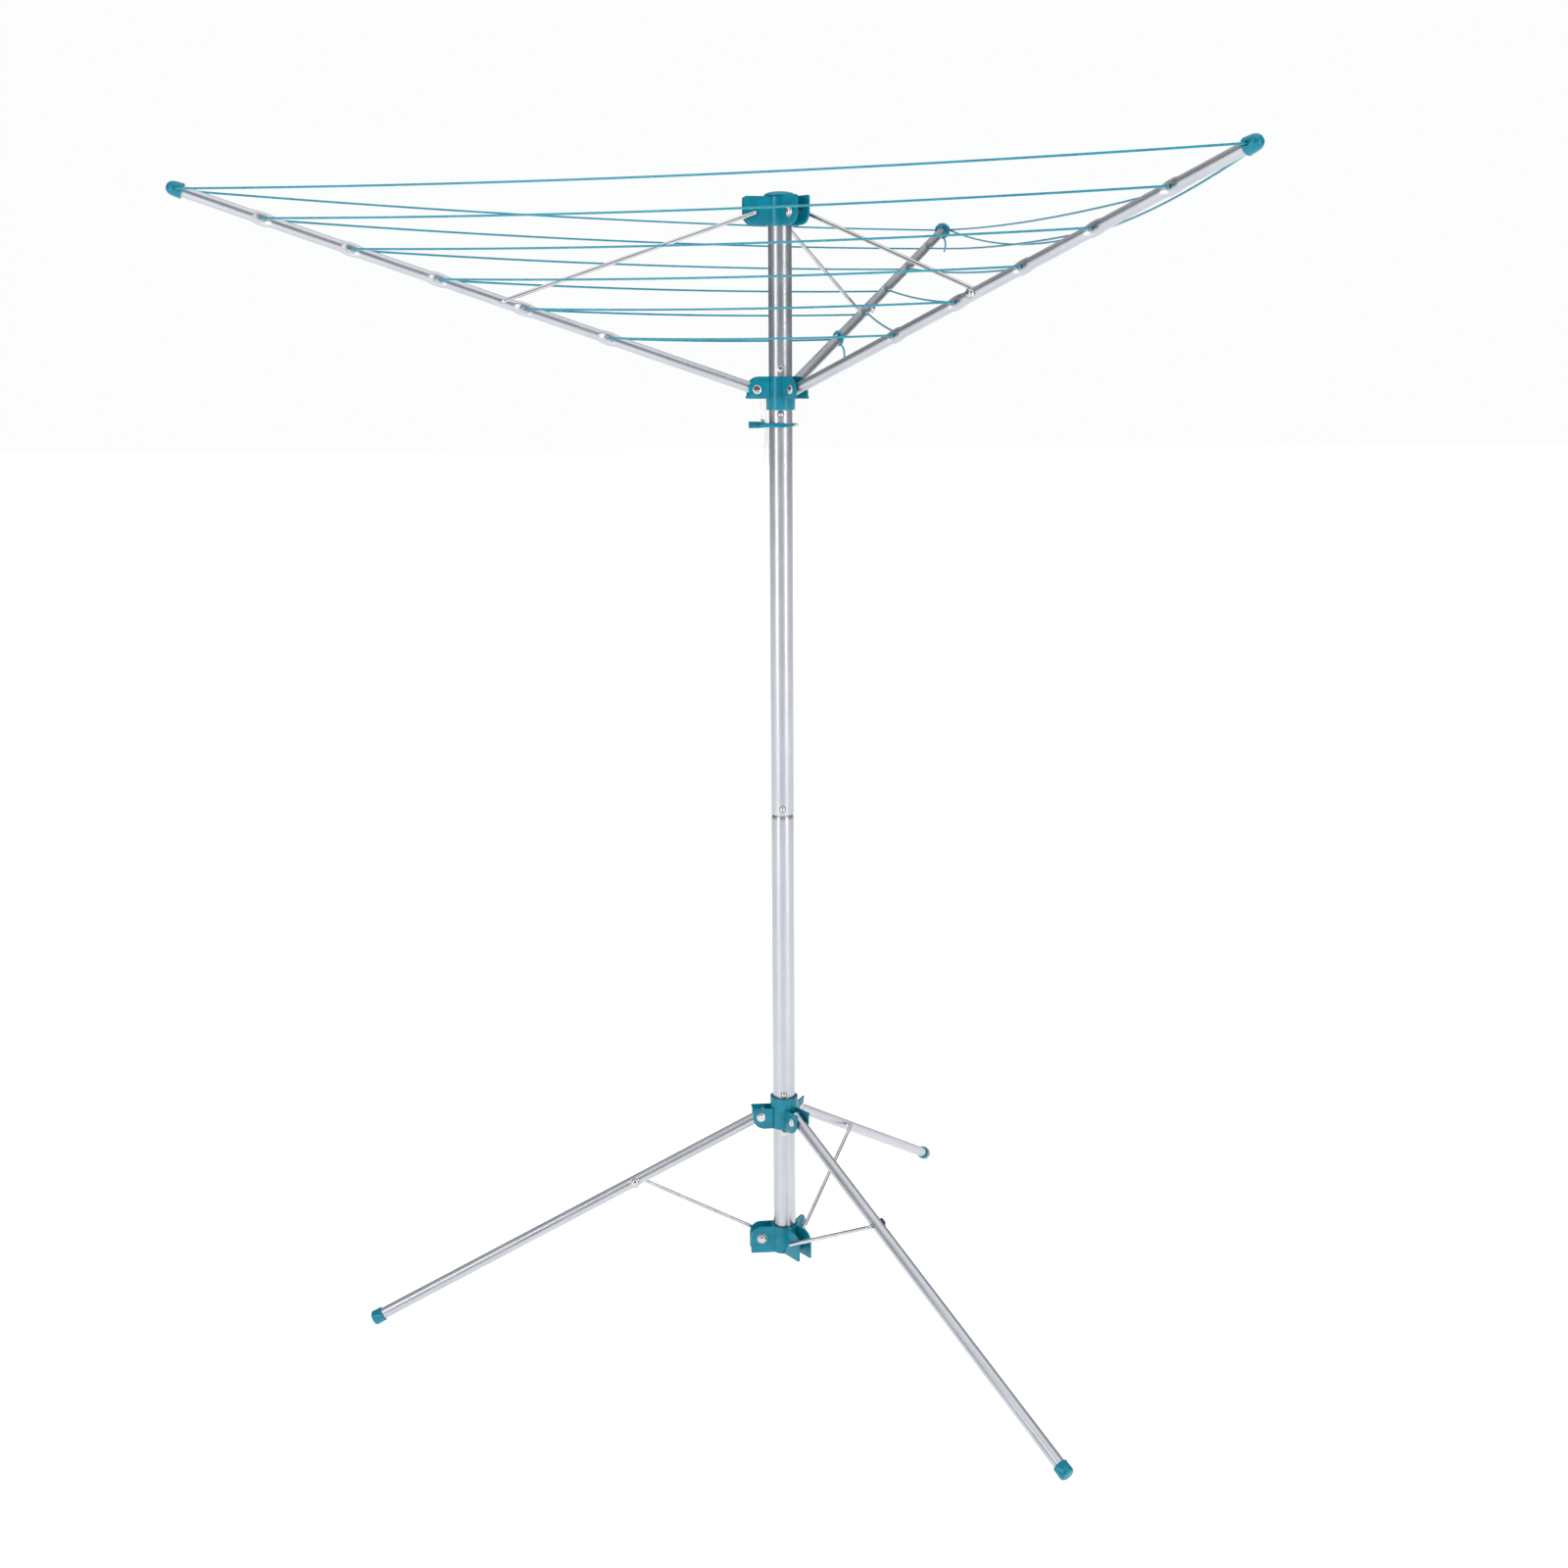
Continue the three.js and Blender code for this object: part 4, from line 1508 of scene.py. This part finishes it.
    def pivot_head(self) -> bpy.types.Object:
        """Return half of a pivot rivet, facing +Z, from the branch's plane out to its head.

        Returns:
            The half rivet.
        """
        base, r = self.ear_out + self.gap, self.rivet_head
        profile = [
            (0, 0),
            (self.rivet_r, 0),
            (self.rivet_r, base),
            (r - 0.15, base),
            (r, base + 0.15),
            (r - 0.1, base + 0.45),
            (r - 0.75, base + 1.0),
            (r - 2.0, base + 1.42),
            (r - 4.0, base + 1.57),
            (0, base + 1.6),
        ]
        return Shell().turned(profile, sides=36).ready("rivet_half", self.kit.looks[Slot.STEEL])

    def build(self) -> None:
        """Build and dress the arms, legs and everything on them."""
        cap, rivet = self.star_cap(), self.pivot_head()
        for b in self.facts.arms:
            self.build_arm(b)
            self.build_rod(b, Side.LEFT, cap, "arm_rod", f"rod_{b.number}", self.arm_r, "arm")
        for b in self.facts.legs:
            self.build_leg(b)
            self.build_rod(b, Side.RIGHT, cap, "leg_stay", f"stay_{b.number}", self.leg_r, "leg")
        for branches, body, node in (
            (self.facts.arms, "slider", "arm_rivet"),
            (self.facts.legs, "collar", "leg_rivet"),
        ):
            spots = [(b.slide, way * b.side) for b in branches for way in (1, -1)]
            made = self.kit.copies(node + "s", rivet, spots)
            settle(made, body, Slot.STEEL, [f"{node}_{n}" for n in (1, 2, 3)])
        for proto in (cap, rivet):
            bpy.data.objects.remove(proto)

    def build_arm(self, b: Branch) -> None:
        """Build one arm and its tip.

        Args:
            b: The arm's branch.
        """
        place = b.along(b.slide)
        holes = self.holes()
        elbow = (b.elbow - b.slide).length / MM
        tip_hole = self.arm_tip - 14
        tube = self.tube(f"arm_{b.number}_tube", -9, self.arm_tip - 6.5, self.arm_r, holes, place)
        drills = Shell()
        cuts = [(0.0, self.rivet_r + self.gap), (elbow, self.rod_r + self.gap)]
        cuts += [(x, self.hole) for x in [*holes, tip_hole]]
        for x, r in cuts:
            profile, drill = across(x, r, self.arm_r + 3)
            drills.turned(profile, place @ drill, 28)
        settle(drilled(tube, drills), f"arm_{b.number}", Slot.TUBE, [f"arm_{b.number}"])
        start = self.arm_tip - self.tip_cap
        taper = ((0.3, 3.0), (0.5, 9.0), (1.1, 13.5), (2.1, 16.6), (4.2, 19.3), (7.0, 20.9))
        nose = eased([(self.tip_r - a, start + x) for a, x in taper] + [(0, self.arm_tip)], 1.6, 4)
        tip = self.thimble(
            f"arm_tip_{b.number}_cap", start, self.tip_r, nose,
            (self.arm_r + self.gap, self.tip_cap - 6.2), place,
        )
        drills = Shell()
        profile, drill = across(tip_hole, self.hole, self.tip_r + 3)
        drills.turned(profile, place @ drill, 28)
        settle(drilled(tip, drills), f"arm_{b.number}", Slot.TEAL, [f"arm_tip_{b.number}"])

    def build_leg(self, b: Branch) -> None:
        """Build one leg and its foot.

        Args:
            b: The leg's branch.
        """
        place = b.along(b.slide)
        elbow = (b.elbow - b.slide).length / MM
        tube = self.tube(f"leg_{b.number}_tube", -9, self.leg_tube + 6, self.leg_r, [], place)
        drills = Shell()
        for x, r in ((0.0, self.rivet_r + self.gap), (elbow, self.rod_r + self.gap)):
            profile, drill = across(x, r, self.leg_r + 3)
            drills.turned(profile, place @ drill, 28)
        settle(drilled(tube, drills), f"leg_{b.number}", Slot.TUBE, [f"leg_{b.number}"])
        c, sole = self.foot_corner, self.leg_tube + self.foot_reach + self.foot_flat
        nose = arc(self.foot_r - c, sole - c, c, 0, 90, 8) + [(2.0, sole + 0.15), (0, sole + 0.2)]
        foot = self.thimble(
            f"foot_{b.number}_cap", self.leg_tube, self.foot_r, nose,
            (self.leg_r + self.gap, 6 + self.gap), place,
        )
        settle(foot, f"leg_{b.number}", Slot.TEAL, [f"foot_{b.number}"])

    def build_rod(
        self,
        b: Branch,
        side: Side,
        cap: bpy.types.Object,
        node: str,
        body: str,
        tube_r: float,
        bar: str,
    ) -> None:
        """Build one rod with a cap on each end.

        Args:
            b: The rod's branch.
            side: The side it runs on.
            cap: The push-on cap.
            node: The rod's CAD name without its number.
            body: The rod's body.
            tube_r: The radius of the bar that it joins.
            bar: What it joins, as its cap's CAD name says.
        """
        place = b.along(b.hub)
        length = (b.elbow - b.hub).length / MM
        path = self.rod_path(length, side, tube_r)
        made = Shell().swept(path, self.rod_r * MM, 20, place)
        made = made.ready(f"{node}_{b.number}_wire", self.kit.looks[Slot.STEEL])
        settle(made, body, Slot.STEEL, [f"{node}_{b.number}"])
        facing = -side.value * b.side
        spots = [
            (b.hub + facing * (self.ear_out + self.gap) * MM, facing),
            (b.elbow + facing * (tube_r + self.gap) * MM, facing),
        ]
        caps = self.kit.copies(f"{node}_caps_{b.number}", cap, spots)
        ends = [f"{node}_{end}_cap_{b.number}" for end in ("hub", bar)]
        settle(caps, body, Slot.STEEL, ends)


# ---------------------------------------------------------------- the locking pin
@dataclass
class LockingPin:
    """The pin through the pole, its grip and the string that keeps it. Sizes in millimetres."""

    facts: Facts
    kit: Kit
    pole: float = 16.0
    shaft: float = 2.3
    string: float = 0.6
    ear_in: float = 8.7
    ear_out: float = 11.7
    yoke: float = 12.5

    def tether_path(self) -> list[Vector]:
        """Return the string's route, from the slider's first ear through the pin's eye and back.

        Returns:
            Closely spaced points in metres.
        """
        b = self.facts.arms[0]
        pin = middle("pin_shaft").z / MM
        grip = -self.pole - 9
        ear = (self.ear_in + self.ear_out) / 2

        def under(reach: float, down: float) -> Vector:
            """Return a point under the ear."""
            z = b.slide.z / MM - self.yoke - 0.3 - down
            return b.out * reach + b.side * ear + UP * z

        def by_pin(x: float, y: float, z: float) -> Vector:
            """Return a point measured from the grip."""
            return Vector((grip + x, y, pin + z))

        def by_pole(out: float, y: float, z: float) -> Vector:
            """Return a point measured from the pole's wall."""
            return Vector((-self.pole - out, y, pin + z))

        points = [
            under(29.5, 0), under(29.3, 6),
            by_pin(-0.6, -12.6, 11.0), by_pin(0, -10.4, 7.4), by_pin(0, -8, 6.6),
            by_pin(0.6, -5.4, 6.2), by_pin(3.6, -5.2, 3.4),
            by_pole(4.5, -5.2, -5), by_pole(5.2, -6.2, -20), by_pole(6, -8, -40),
            by_pole(5.3, -8.6, -54), by_pole(3.2, -9, -60), by_pole(1.6, -9.2, -55),
            by_pole(0.8, -9, -40), by_pole(1.4, -9, -22), by_pole(2.6, -9, -5),
            by_pole(3.3, -9.4, 4), by_pole(4.6, -11.2, 12),
            under(24.3, 6), under(24, 0),
        ]
        return spline([p * MM for p in points], 9)

    def build_tether(self) -> None:
        path = self.tether_path()
        made = self.kit.line("pin_tether_string", path, self.string * MM, Slot.STRING, 10)
        settle(made, "slider", Slot.STRING, ["pin_tether"])
        length = sum((b - a).length for a, b in zip(path, path[1:]))
        LOG.info("the pin's string is %.3f m long", length)
        tuple(path[0])
        2 * self.string * MM
        [tuple(p) for p in path]

    def build(self) -> None:
        """Build the shaft and the grip."""
        z = middle("pin_shaft").z
        along = Matrix.Translation((0, 0, z)) @ Matrix.Rotation(math.pi / 2, 4, "Y")
        r, end = self.shaft, self.pole + 8.5
        profile = eased(
            [(0, -self.pole - 14), (r, -self.pole - 14), (r, end - 3), (0.9, end), (0, end)], 0.5
        )
        shaft = Shell().turned(profile, along, 32)
        shaft = shaft.ready("pin_shaft_rod", self.kit.looks[Slot.STEEL])
        settle(shaft, "pin", Slot.STEEL, ["pin_shaft"])

        grip = -self.pole - 9
        handle = [(r + 0.25, -8), (0, -8), (0, -19), (4.4, -19), (5, -18.2)]
        for low in (-17.6, -14.2, -10.8, -7.4):
            handle += [(5.0, low), (5.0, low + 1.0), (4.35, low + 1.5), (4.35, low + 2.6)]
        handle += [(4.3, -3.8), (4.2, 1), (3.8, 2.7), (3.4, 3), (r + 0.25, 3)]
        seat = along @ Matrix.Translation((0, 0, grip * MM))
        shell = Shell().turned(eased(handle, 0.35, 2, True), seat, 40, True)
        p, front = self.pole, -(self.pole + 0.6)
        clip = [
            (grip - 1, -3), (4 - p, -2.9), (p - 10, -3.1), (p - 1, -2), (p + 2, -1.3), (p + 2, 0.9),
            (p - 1, 1.4), (p - 10, 2.4), (4 - p, 3), (grip - 1, 3.2),
        ]
        level = Matrix.Translation((0, 0, z))
        shell.plate(eased(clip, 1.0, 3, True), front - 2.8, front, 0.7, level)
        bridge = [(grip - 3, -2.8), (grip + 3, -2.8), (grip + 3, 2.8), (grip - 3, 2.8)]
        middle_y, half = -(p + 4.2) / 2 - 0.6, (p - 2.2) / 2
        shell.plate(eased(bridge, 0.9, 3, True), middle_y - half, middle_y + half, 0.5, level)
        ring = [
            Vector((grip + 2.2 * math.cos(t), -8 + 2.2 * math.sin(t), 6.6)) * MM
            for t in (2 * math.pi * k / 28 for k in range(28))
        ]
        self.ring(shell, ring, 0.9 * MM, level)
        post = [(grip - 1.1, 2.0), (grip + 1.1, 2.0), (grip + 1.1, 5.2), (grip - 1.1, 5.2)]
        shell.plate(post, -8.8, -7.2, 0.3, level)
        made = shell.ready("pin_grip_moulding", self.kit.looks[Slot.TEAL])
        settle(made, "pin", Slot.TEAL, ["pin_grip"])

    @staticmethod
    def ring(shell: Shell, centres: list[Vector], r: float, place: Matrix) -> None:
        """Add a closed ring of wire that lies level.

        Args:
            shell: The shell that gathers it.
            centres: Points round its middle, in metres.
            r: The wire's radius in metres.
            place: Where it goes.
        """
        hub = sum(centres, Vector()) / len(centres)
        rows = []
        for c in centres:
            out = (c - hub).normalized()
            turn = (2 * math.pi * k / 12 for k in range(12))
            rows.append([c + r * (out * math.cos(t) + UP * math.sin(t)) for t in turn])
        shell.skin(rows, place, True)


def spline(points: list[Vector], steps: int) -> list[Vector]:
    """Return a smooth curve through points.

    Args:
        points: The points.
        steps: Segments between neighbours.

    Returns:
        Closely spaced points.
    """
    out = []
    for i in range(len(points) - 1):
        p0 = points[max(i - 1, 0)] if i else points[0] * 2 - points[1]
        p1, p2 = points[i], points[i + 1]
        p3 = points[i + 2] if i + 2 < len(points) else p2 * 2 - p1
        pairs = ((p0, p1), (p1, p2), (p2, p3))
        d01, d12, d23 = (max((b - a).length ** 0.5, 1e-6) for a, b in pairs)
        m1 = (p1 - p0) / d01 - (p2 - p0) / (d01 + d12) + (p2 - p1) / d12
        m2 = (p2 - p1) / d12 - (p3 - p1) / (d12 + d23) + (p3 - p2) / d23
        m1, m2 = m1 * d12, m2 * d12
        for k in range(steps):
            t = k / steps
            a = 2 * t**3 - 3 * t**2 + 1
            b = t**3 - 2 * t**2 + t
            c = -2 * t**3 + 3 * t**2
            d = t**3 - t**2
            out.append(p1 * a + m1 * b + p2 * c + m2 * d)
    out.append(points[-1])
    return out


# ---------------------------------------------------------------- the clothes line
@dataclass
class ClothesLine:
    """One line wound in a spiral through every hole and knotted at both ends, in millimetres."""

    facts: Facts
    kit: Kit
    bars: Bars
    radius: float = 1.4
    sag: float = 0.007
    last_sag: float = 0.042
    hang: float = 40.0

    def hole(self, arm: int, course: int, along: float = 0.0) -> Vector:
        """Return a line hole.

        Args:
            arm: The arm's place in the list.
            course: 0 for the tip, then inwards.
            along: Distance from it across the arm.

        Returns:
            The point in metres.
        """
        b = self.facts.arms[arm]
        xs = [self.bars.arm_tip - 14, *reversed(self.bars.holes())]
        way = (b.elbow - b.slide).normalized()
        return b.slide + way * xs[course] * MM + b.side * along * MM

    def half_run(self, start: Vector, end: Vector, sag: float) -> list[Vector]:
        """Return the half of a sagging run that is next to its start.

        Args:
            start: The near end.
            end: The far end.
            sag: The sag as a share of the run.

        Returns:
            Points from the start to the middle.
        """
        drop = (end - start).length * sag
        out = []
        for k in range(13):
            t = k / 24
            out.append(start.lerp(end, t) - UP * 4 * drop * t * (1 - t))
        return out

    def build(self) -> None:
        """Build every stretch of the line, each riding on its arm."""
        reach = self.bars.tip_r + 2
        stops = [(arm, course) for course in range(self.bars.eyelets, -1, -1) for arm in (2, 0, 1)]
        total = 0.0
        first = True
        for i, (arm, course) in enumerate(stops):
            last = i == len(stops) - 1
            begin = -reach / 2 if first else -reach
            through = [self.hole(arm, course, begin + (reach - begin) * k / 8) for k in range(9)]
            made = self.kit.line(f"line_in_hole_{i + 1}", through, self.radius * MM, Slot.LINE)
            settle(made, f"arm_{arm + 1}", Slot.LINE)
            if first:
                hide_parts("clothes_line")
                first = False
            start = self.hole(arm, course, reach)
            if last:
                near = self.bars.tip_r + self.radius + 0.2
                other, end = (2, 0), self.spot(2, self.bars.arm_tip - 16.8, -near, 0)
            else:
                other = stops[i + 1]
                end = self.hole(*other, -reach)
            sag = self.last_sag if last else self.sag
            total += (end - start).length * (1 + 8 / 3 * sag**2) + 2 * reach * MM
            for label, a, b, at, to in (
                ("out", start, end, arm, other[0]),
                ("in", end, start, other[0], arm),
            ):
                path = self.half_run(a, b, sag)
                made = self.kit.line(f"line_run_{i + 1}_{label}", path, self.radius * MM, Slot.LINE)
                settle(made, f"arm_{at + 1}", Slot.LINE)
                self.slacken(made, path, b, at, to)
        b = self.bars
        self.knot("first", b.first_hole + 3.2, b.arm_r * 0.7, b.arm_r * 1.2, 1)
        self.knot("last", b.arm_tip - 16.8, b.tip_r, b.tip_r, -1)
        LOG.info("the line is %.2f m long", total)

    def spot(self, arm: int, x: float, y: float, z: float) -> Vector:
        """Return a point on an arm.

        Args:
            arm: The arm's place in the list.
            x: Distance along it.
            y: Distance across it.
            z: Distance above it.

        Returns:
            The point in metres.
        """
        b = self.facts.arms[arm]
        return b.along(b.slide) @ (Vector((x, y, z)) * MM)

    def knot(self, name: str, x: float, wide: float, tall: float, way: int) -> None:
        """Wind the line's end twice round the back arm and leave a short tail.

        Args:
            name: Which end it is.
            x: Where the winding starts.
            wide: Half the arm's width there.
            tall: Half its height there.
            way: 1 to wind outwards, or -1 to wind inwards.
        """
        lift, pitch, turns, steps = self.radius + 0.2, 2 * self.radius + 0.15, 1.75, 42
        path = []
        for k in range(steps + 1):
            t = k / steps * turns
            turn = 2 * math.pi * t
            y, z = -(wide + lift) * math.cos(turn), (tall + lift) * math.sin(turn)
            path.append(self.spot(2, x + way * pitch * t, y, z))
        last, ahead = path[-1], (path[-1] - path[-2]).normalized()
        out = self.facts.arms[2].out * way
        tail = [last + ahead * 3 * MM + out * 0.6 * MM - UP * 1 * MM]
        tail.append(tail[0] + ahead * 2.5 * MM + out * 1.5 * MM - UP * 5 * MM)
        tail.append(tail[1] + ahead * 0.4 * MM + out * 2 * MM - UP * 9 * MM)
        tail.append(tail[2] - ahead * 1.5 * MM + out * 1.0 * MM - UP * 8 * MM)
        end = spline([path[-3], last, *tail], 5)[5:]
        made = self.kit.line(f"line_knot_{name}", path[:-1] + end, self.radius * MM, Slot.LINE)
        settle(made, "arm_3", Slot.LINE)

    def raised(self, arm: int, point: Vector, way: int = 1) -> Vector:
        """Turn a point on an arm up by the whole fold, leaving out the slider's own travel.

        Args:
            arm: The arm's place in the list.
            point: The point.
            way: 1 to fold, or -1 to unfold.

        Returns:
            The turned point.
        """
        b = self.facts.arms[arm]
        turn = Matrix.Rotation(way * self.facts.fold, 3, b.out.cross(UP))
        return b.slide + turn @ (point - b.slide)

    def slacken(
        self, piece: bpy.types.Object, path: list[Vector], far: Vector, arm: int, other: int
    ) -> None:
        """Work out how far a half run would be drawn in as the arms fold, so that its end still
        meets the other half, and give the piece its own mesh; the run is not drawn in.

        Args:
            piece: The half run.
            path: Its points, from its hole to the run's middle.
            far: The run's other hole.
            arm: The arm's place in the list.
            other: The other arm's place.
        """
        start, end = path[0], path[-1]
        meeting = (self.raised(arm, start) + self.raised(other, far)) / 2 - UP * self.hang * MM
        target = self.raised(arm, meeting, -1)
        axis = (end - target).normalized()
        keep = axis.dot(target - start) / axis.dot(end - start)
        keep = min(max(keep, 0.01), 1.0)
        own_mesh(piece)


# ---------------------------------------------------------------- studio
@dataclass
class Studio:
    """The camera, the floor and soft light."""

    eye: tuple[float, float, float] = (0.0, -2.7762, 1.3553)
    pitch: float = 7.953
    yaw: float = 0.095
    roll: float = 0.265
    lens: float = 46.18
    shift: tuple[float, float] = (-0.0007, -0.0881)
    walls: tuple[tuple[float, float], ...] = ((0.0, 0.10), (0.12, 0.18), (0.35, 0.42), (0.8, 0.62))

    def camera(self) -> None:
        """Make the camera."""
        p, y, r = (math.radians(v) for v in (self.pitch, self.yaw, self.roll))
        forward = Vector((math.cos(p) * math.sin(y), math.cos(p) * math.cos(y), -math.sin(p)))
        level = Vector((math.cos(y), -math.sin(y), 0))
        above = level.cross(forward)
        right = level * math.cos(r) - above * math.sin(r)
        up = level * math.sin(r) + above * math.cos(r)
        data = bpy.data.cameras.new("camera")
        data.lens, data.sensor_width = self.lens, 36.0
        data.shift_x, data.shift_y = self.shift
        data.clip_end = 60.0
        camera = bpy.data.objects.new("camera", data)
        turn = Matrix((right, up, -forward)).transposed().to_4x4()
        camera.matrix_world = Matrix.Translation(self.eye) @ turn
        bpy.context.collection.objects.link(camera)
        bpy.context.scene.camera = camera

    def floor(self) -> None:
        """Make the floor."""
        mesh = bpy.data.meshes.new("studio_floor")
        size = 30.0
        corners = [(-size, -size, 0), (size, -size, 0), (size, size, 0), (-size, size, 0)]
        mesh.from_pydata(corners, [], [(0, 1, 2, 3)])
        mesh.materials.append(PaleFloor().material())
        ground = bpy.data.objects.new("studio_floor", mesh)
        bpy.context.collection.objects.link(ground)

    def soft_box(
        self,
        name: str,
        place: tuple[float, float, float],
        size: tuple[float, float],
        watts: float,
    ) -> None:
        """Make one soft box that faces the object's middle.

        Args:
            name: Its name.
            place: Where it hangs.
            size: Its width and height.
            watts: Its power.
        """
        data = bpy.data.lights.new(name, "AREA")
        data.shape, data.size, data.size_y, data.energy = "RECTANGLE", size[0], size[1], watts
        light = bpy.data.objects.new(name, data)
        light.location = place
        light.rotation_mode = "QUATERNION"
        light.rotation_quaternion = (Vector((0, 0, 0.9)) - Vector(place)).to_track_quat("-Z", "Y")
        bpy.context.collection.objects.link(light)

    def light(self) -> None:
        """Light the object softly."""
        world = bpy.data.worlds.new("studio")
        bpy.context.scene.world = world
        bpy.context.scene.view_settings.view_transform = "Standard"
        world.use_nodes = True
        tree = world.node_tree
        tree.nodes.clear()
        add, link = tree.nodes.new, tree.links.new
        seen, around = add("ShaderNodeBackground"), add("ShaderNodeBackground")
        seen.inputs["Color"].default_value = shade(0.975, 0.98, 0.985)
        way, parts = add("ShaderNodeTexCoord"), add("ShaderNodeSeparateXYZ")
        link(way.outputs["Generated"], parts.inputs[0])
        walls = add("ShaderNodeValToRGB")
        stops = self.walls
        while len(walls.color_ramp.elements) < len(stops):
            walls.color_ramp.elements.new(0.5)
        for element, (height, grey) in zip(walls.color_ramp.elements, stops):
            element.position, element.color = height, shade(grey, grey * 1.01, grey * 1.03)
        link(parts.outputs["Z"], walls.inputs[0])
        link(walls.outputs["Color"], around.inputs["Color"])
        rays, pick = add("ShaderNodeLightPath"), add("ShaderNodeMixShader")
        link(rays.outputs["Is Camera Ray"], pick.inputs[0])
        link(around.outputs[0], pick.inputs[1])
        link(seen.outputs[0], pick.inputs[2])
        link(pick.outputs[0], add("ShaderNodeOutputWorld").inputs[0])
        self.soft_box("overhead", (0.0, -0.2, 4.4), (4.5, 4.5), 60.0)
        self.soft_box("left_strip", (-2.6, -2.6, 1.5), (0.55, 3.4), 42.0)
        self.soft_box("right_strip", (2.6, -2.6, 1.5), (0.55, 3.4), 42.0)


def main() -> None:
    """Build everything around the frame."""
    logging.basicConfig(level=logging.INFO, format="%(message)s")
    studio = Studio()
    studio.camera()
    kit = Kit(
        {
            Slot.TUBE: SatinTube(
                "satin_tube", shade(0.50, 0.51, 0.54), shade(0.40, 0.41, 0.445), 0.35
            ).material(),
            Slot.STEEL: BrightSteel(
                "plated_steel", shade(0.54, 0.54, 0.55), shade(0.46, 0.46, 0.47), 0.16
            ).material(),
            Slot.TEAL: MouldedTeal(
                "moulded_teal", shade(0.0, 0.155, 0.225), shade(0.0, 0.215, 0.305)
            ).material(),
            Slot.LINE: CoatedLine(
                name="coated_line",
                deep=shade(0.0, 0.17, 0.25),
                bright=shade(0.0, 0.30, 0.40),
                strands=3.0,
                pitch=0.011,
                depth=0.00012,
                roughness=0.32,
            ).material(),
            Slot.STRING: CoatedLine(
                name="braided_string",
                deep=shade(0.62, 0.62, 0.58),
                bright=shade(0.88, 0.88, 0.85),
                strands=2.0,
                pitch=0.0022,
                depth=0.0002,
                roughness=0.8,
            ).material(),
        }
    )
    facts = Facts()
    pin = LockingPin(facts, kit)
    pin.build_tether()
    pin.build()
    Pole(kit).build()
    Mouldings(facts, kit).build()
    bars = Bars(facts, kit)
    bars.build()
    ClothesLine(facts, kit, bars).build()
    studio.floor()
    studio.light()


if __name__ == "__main__":
    main()
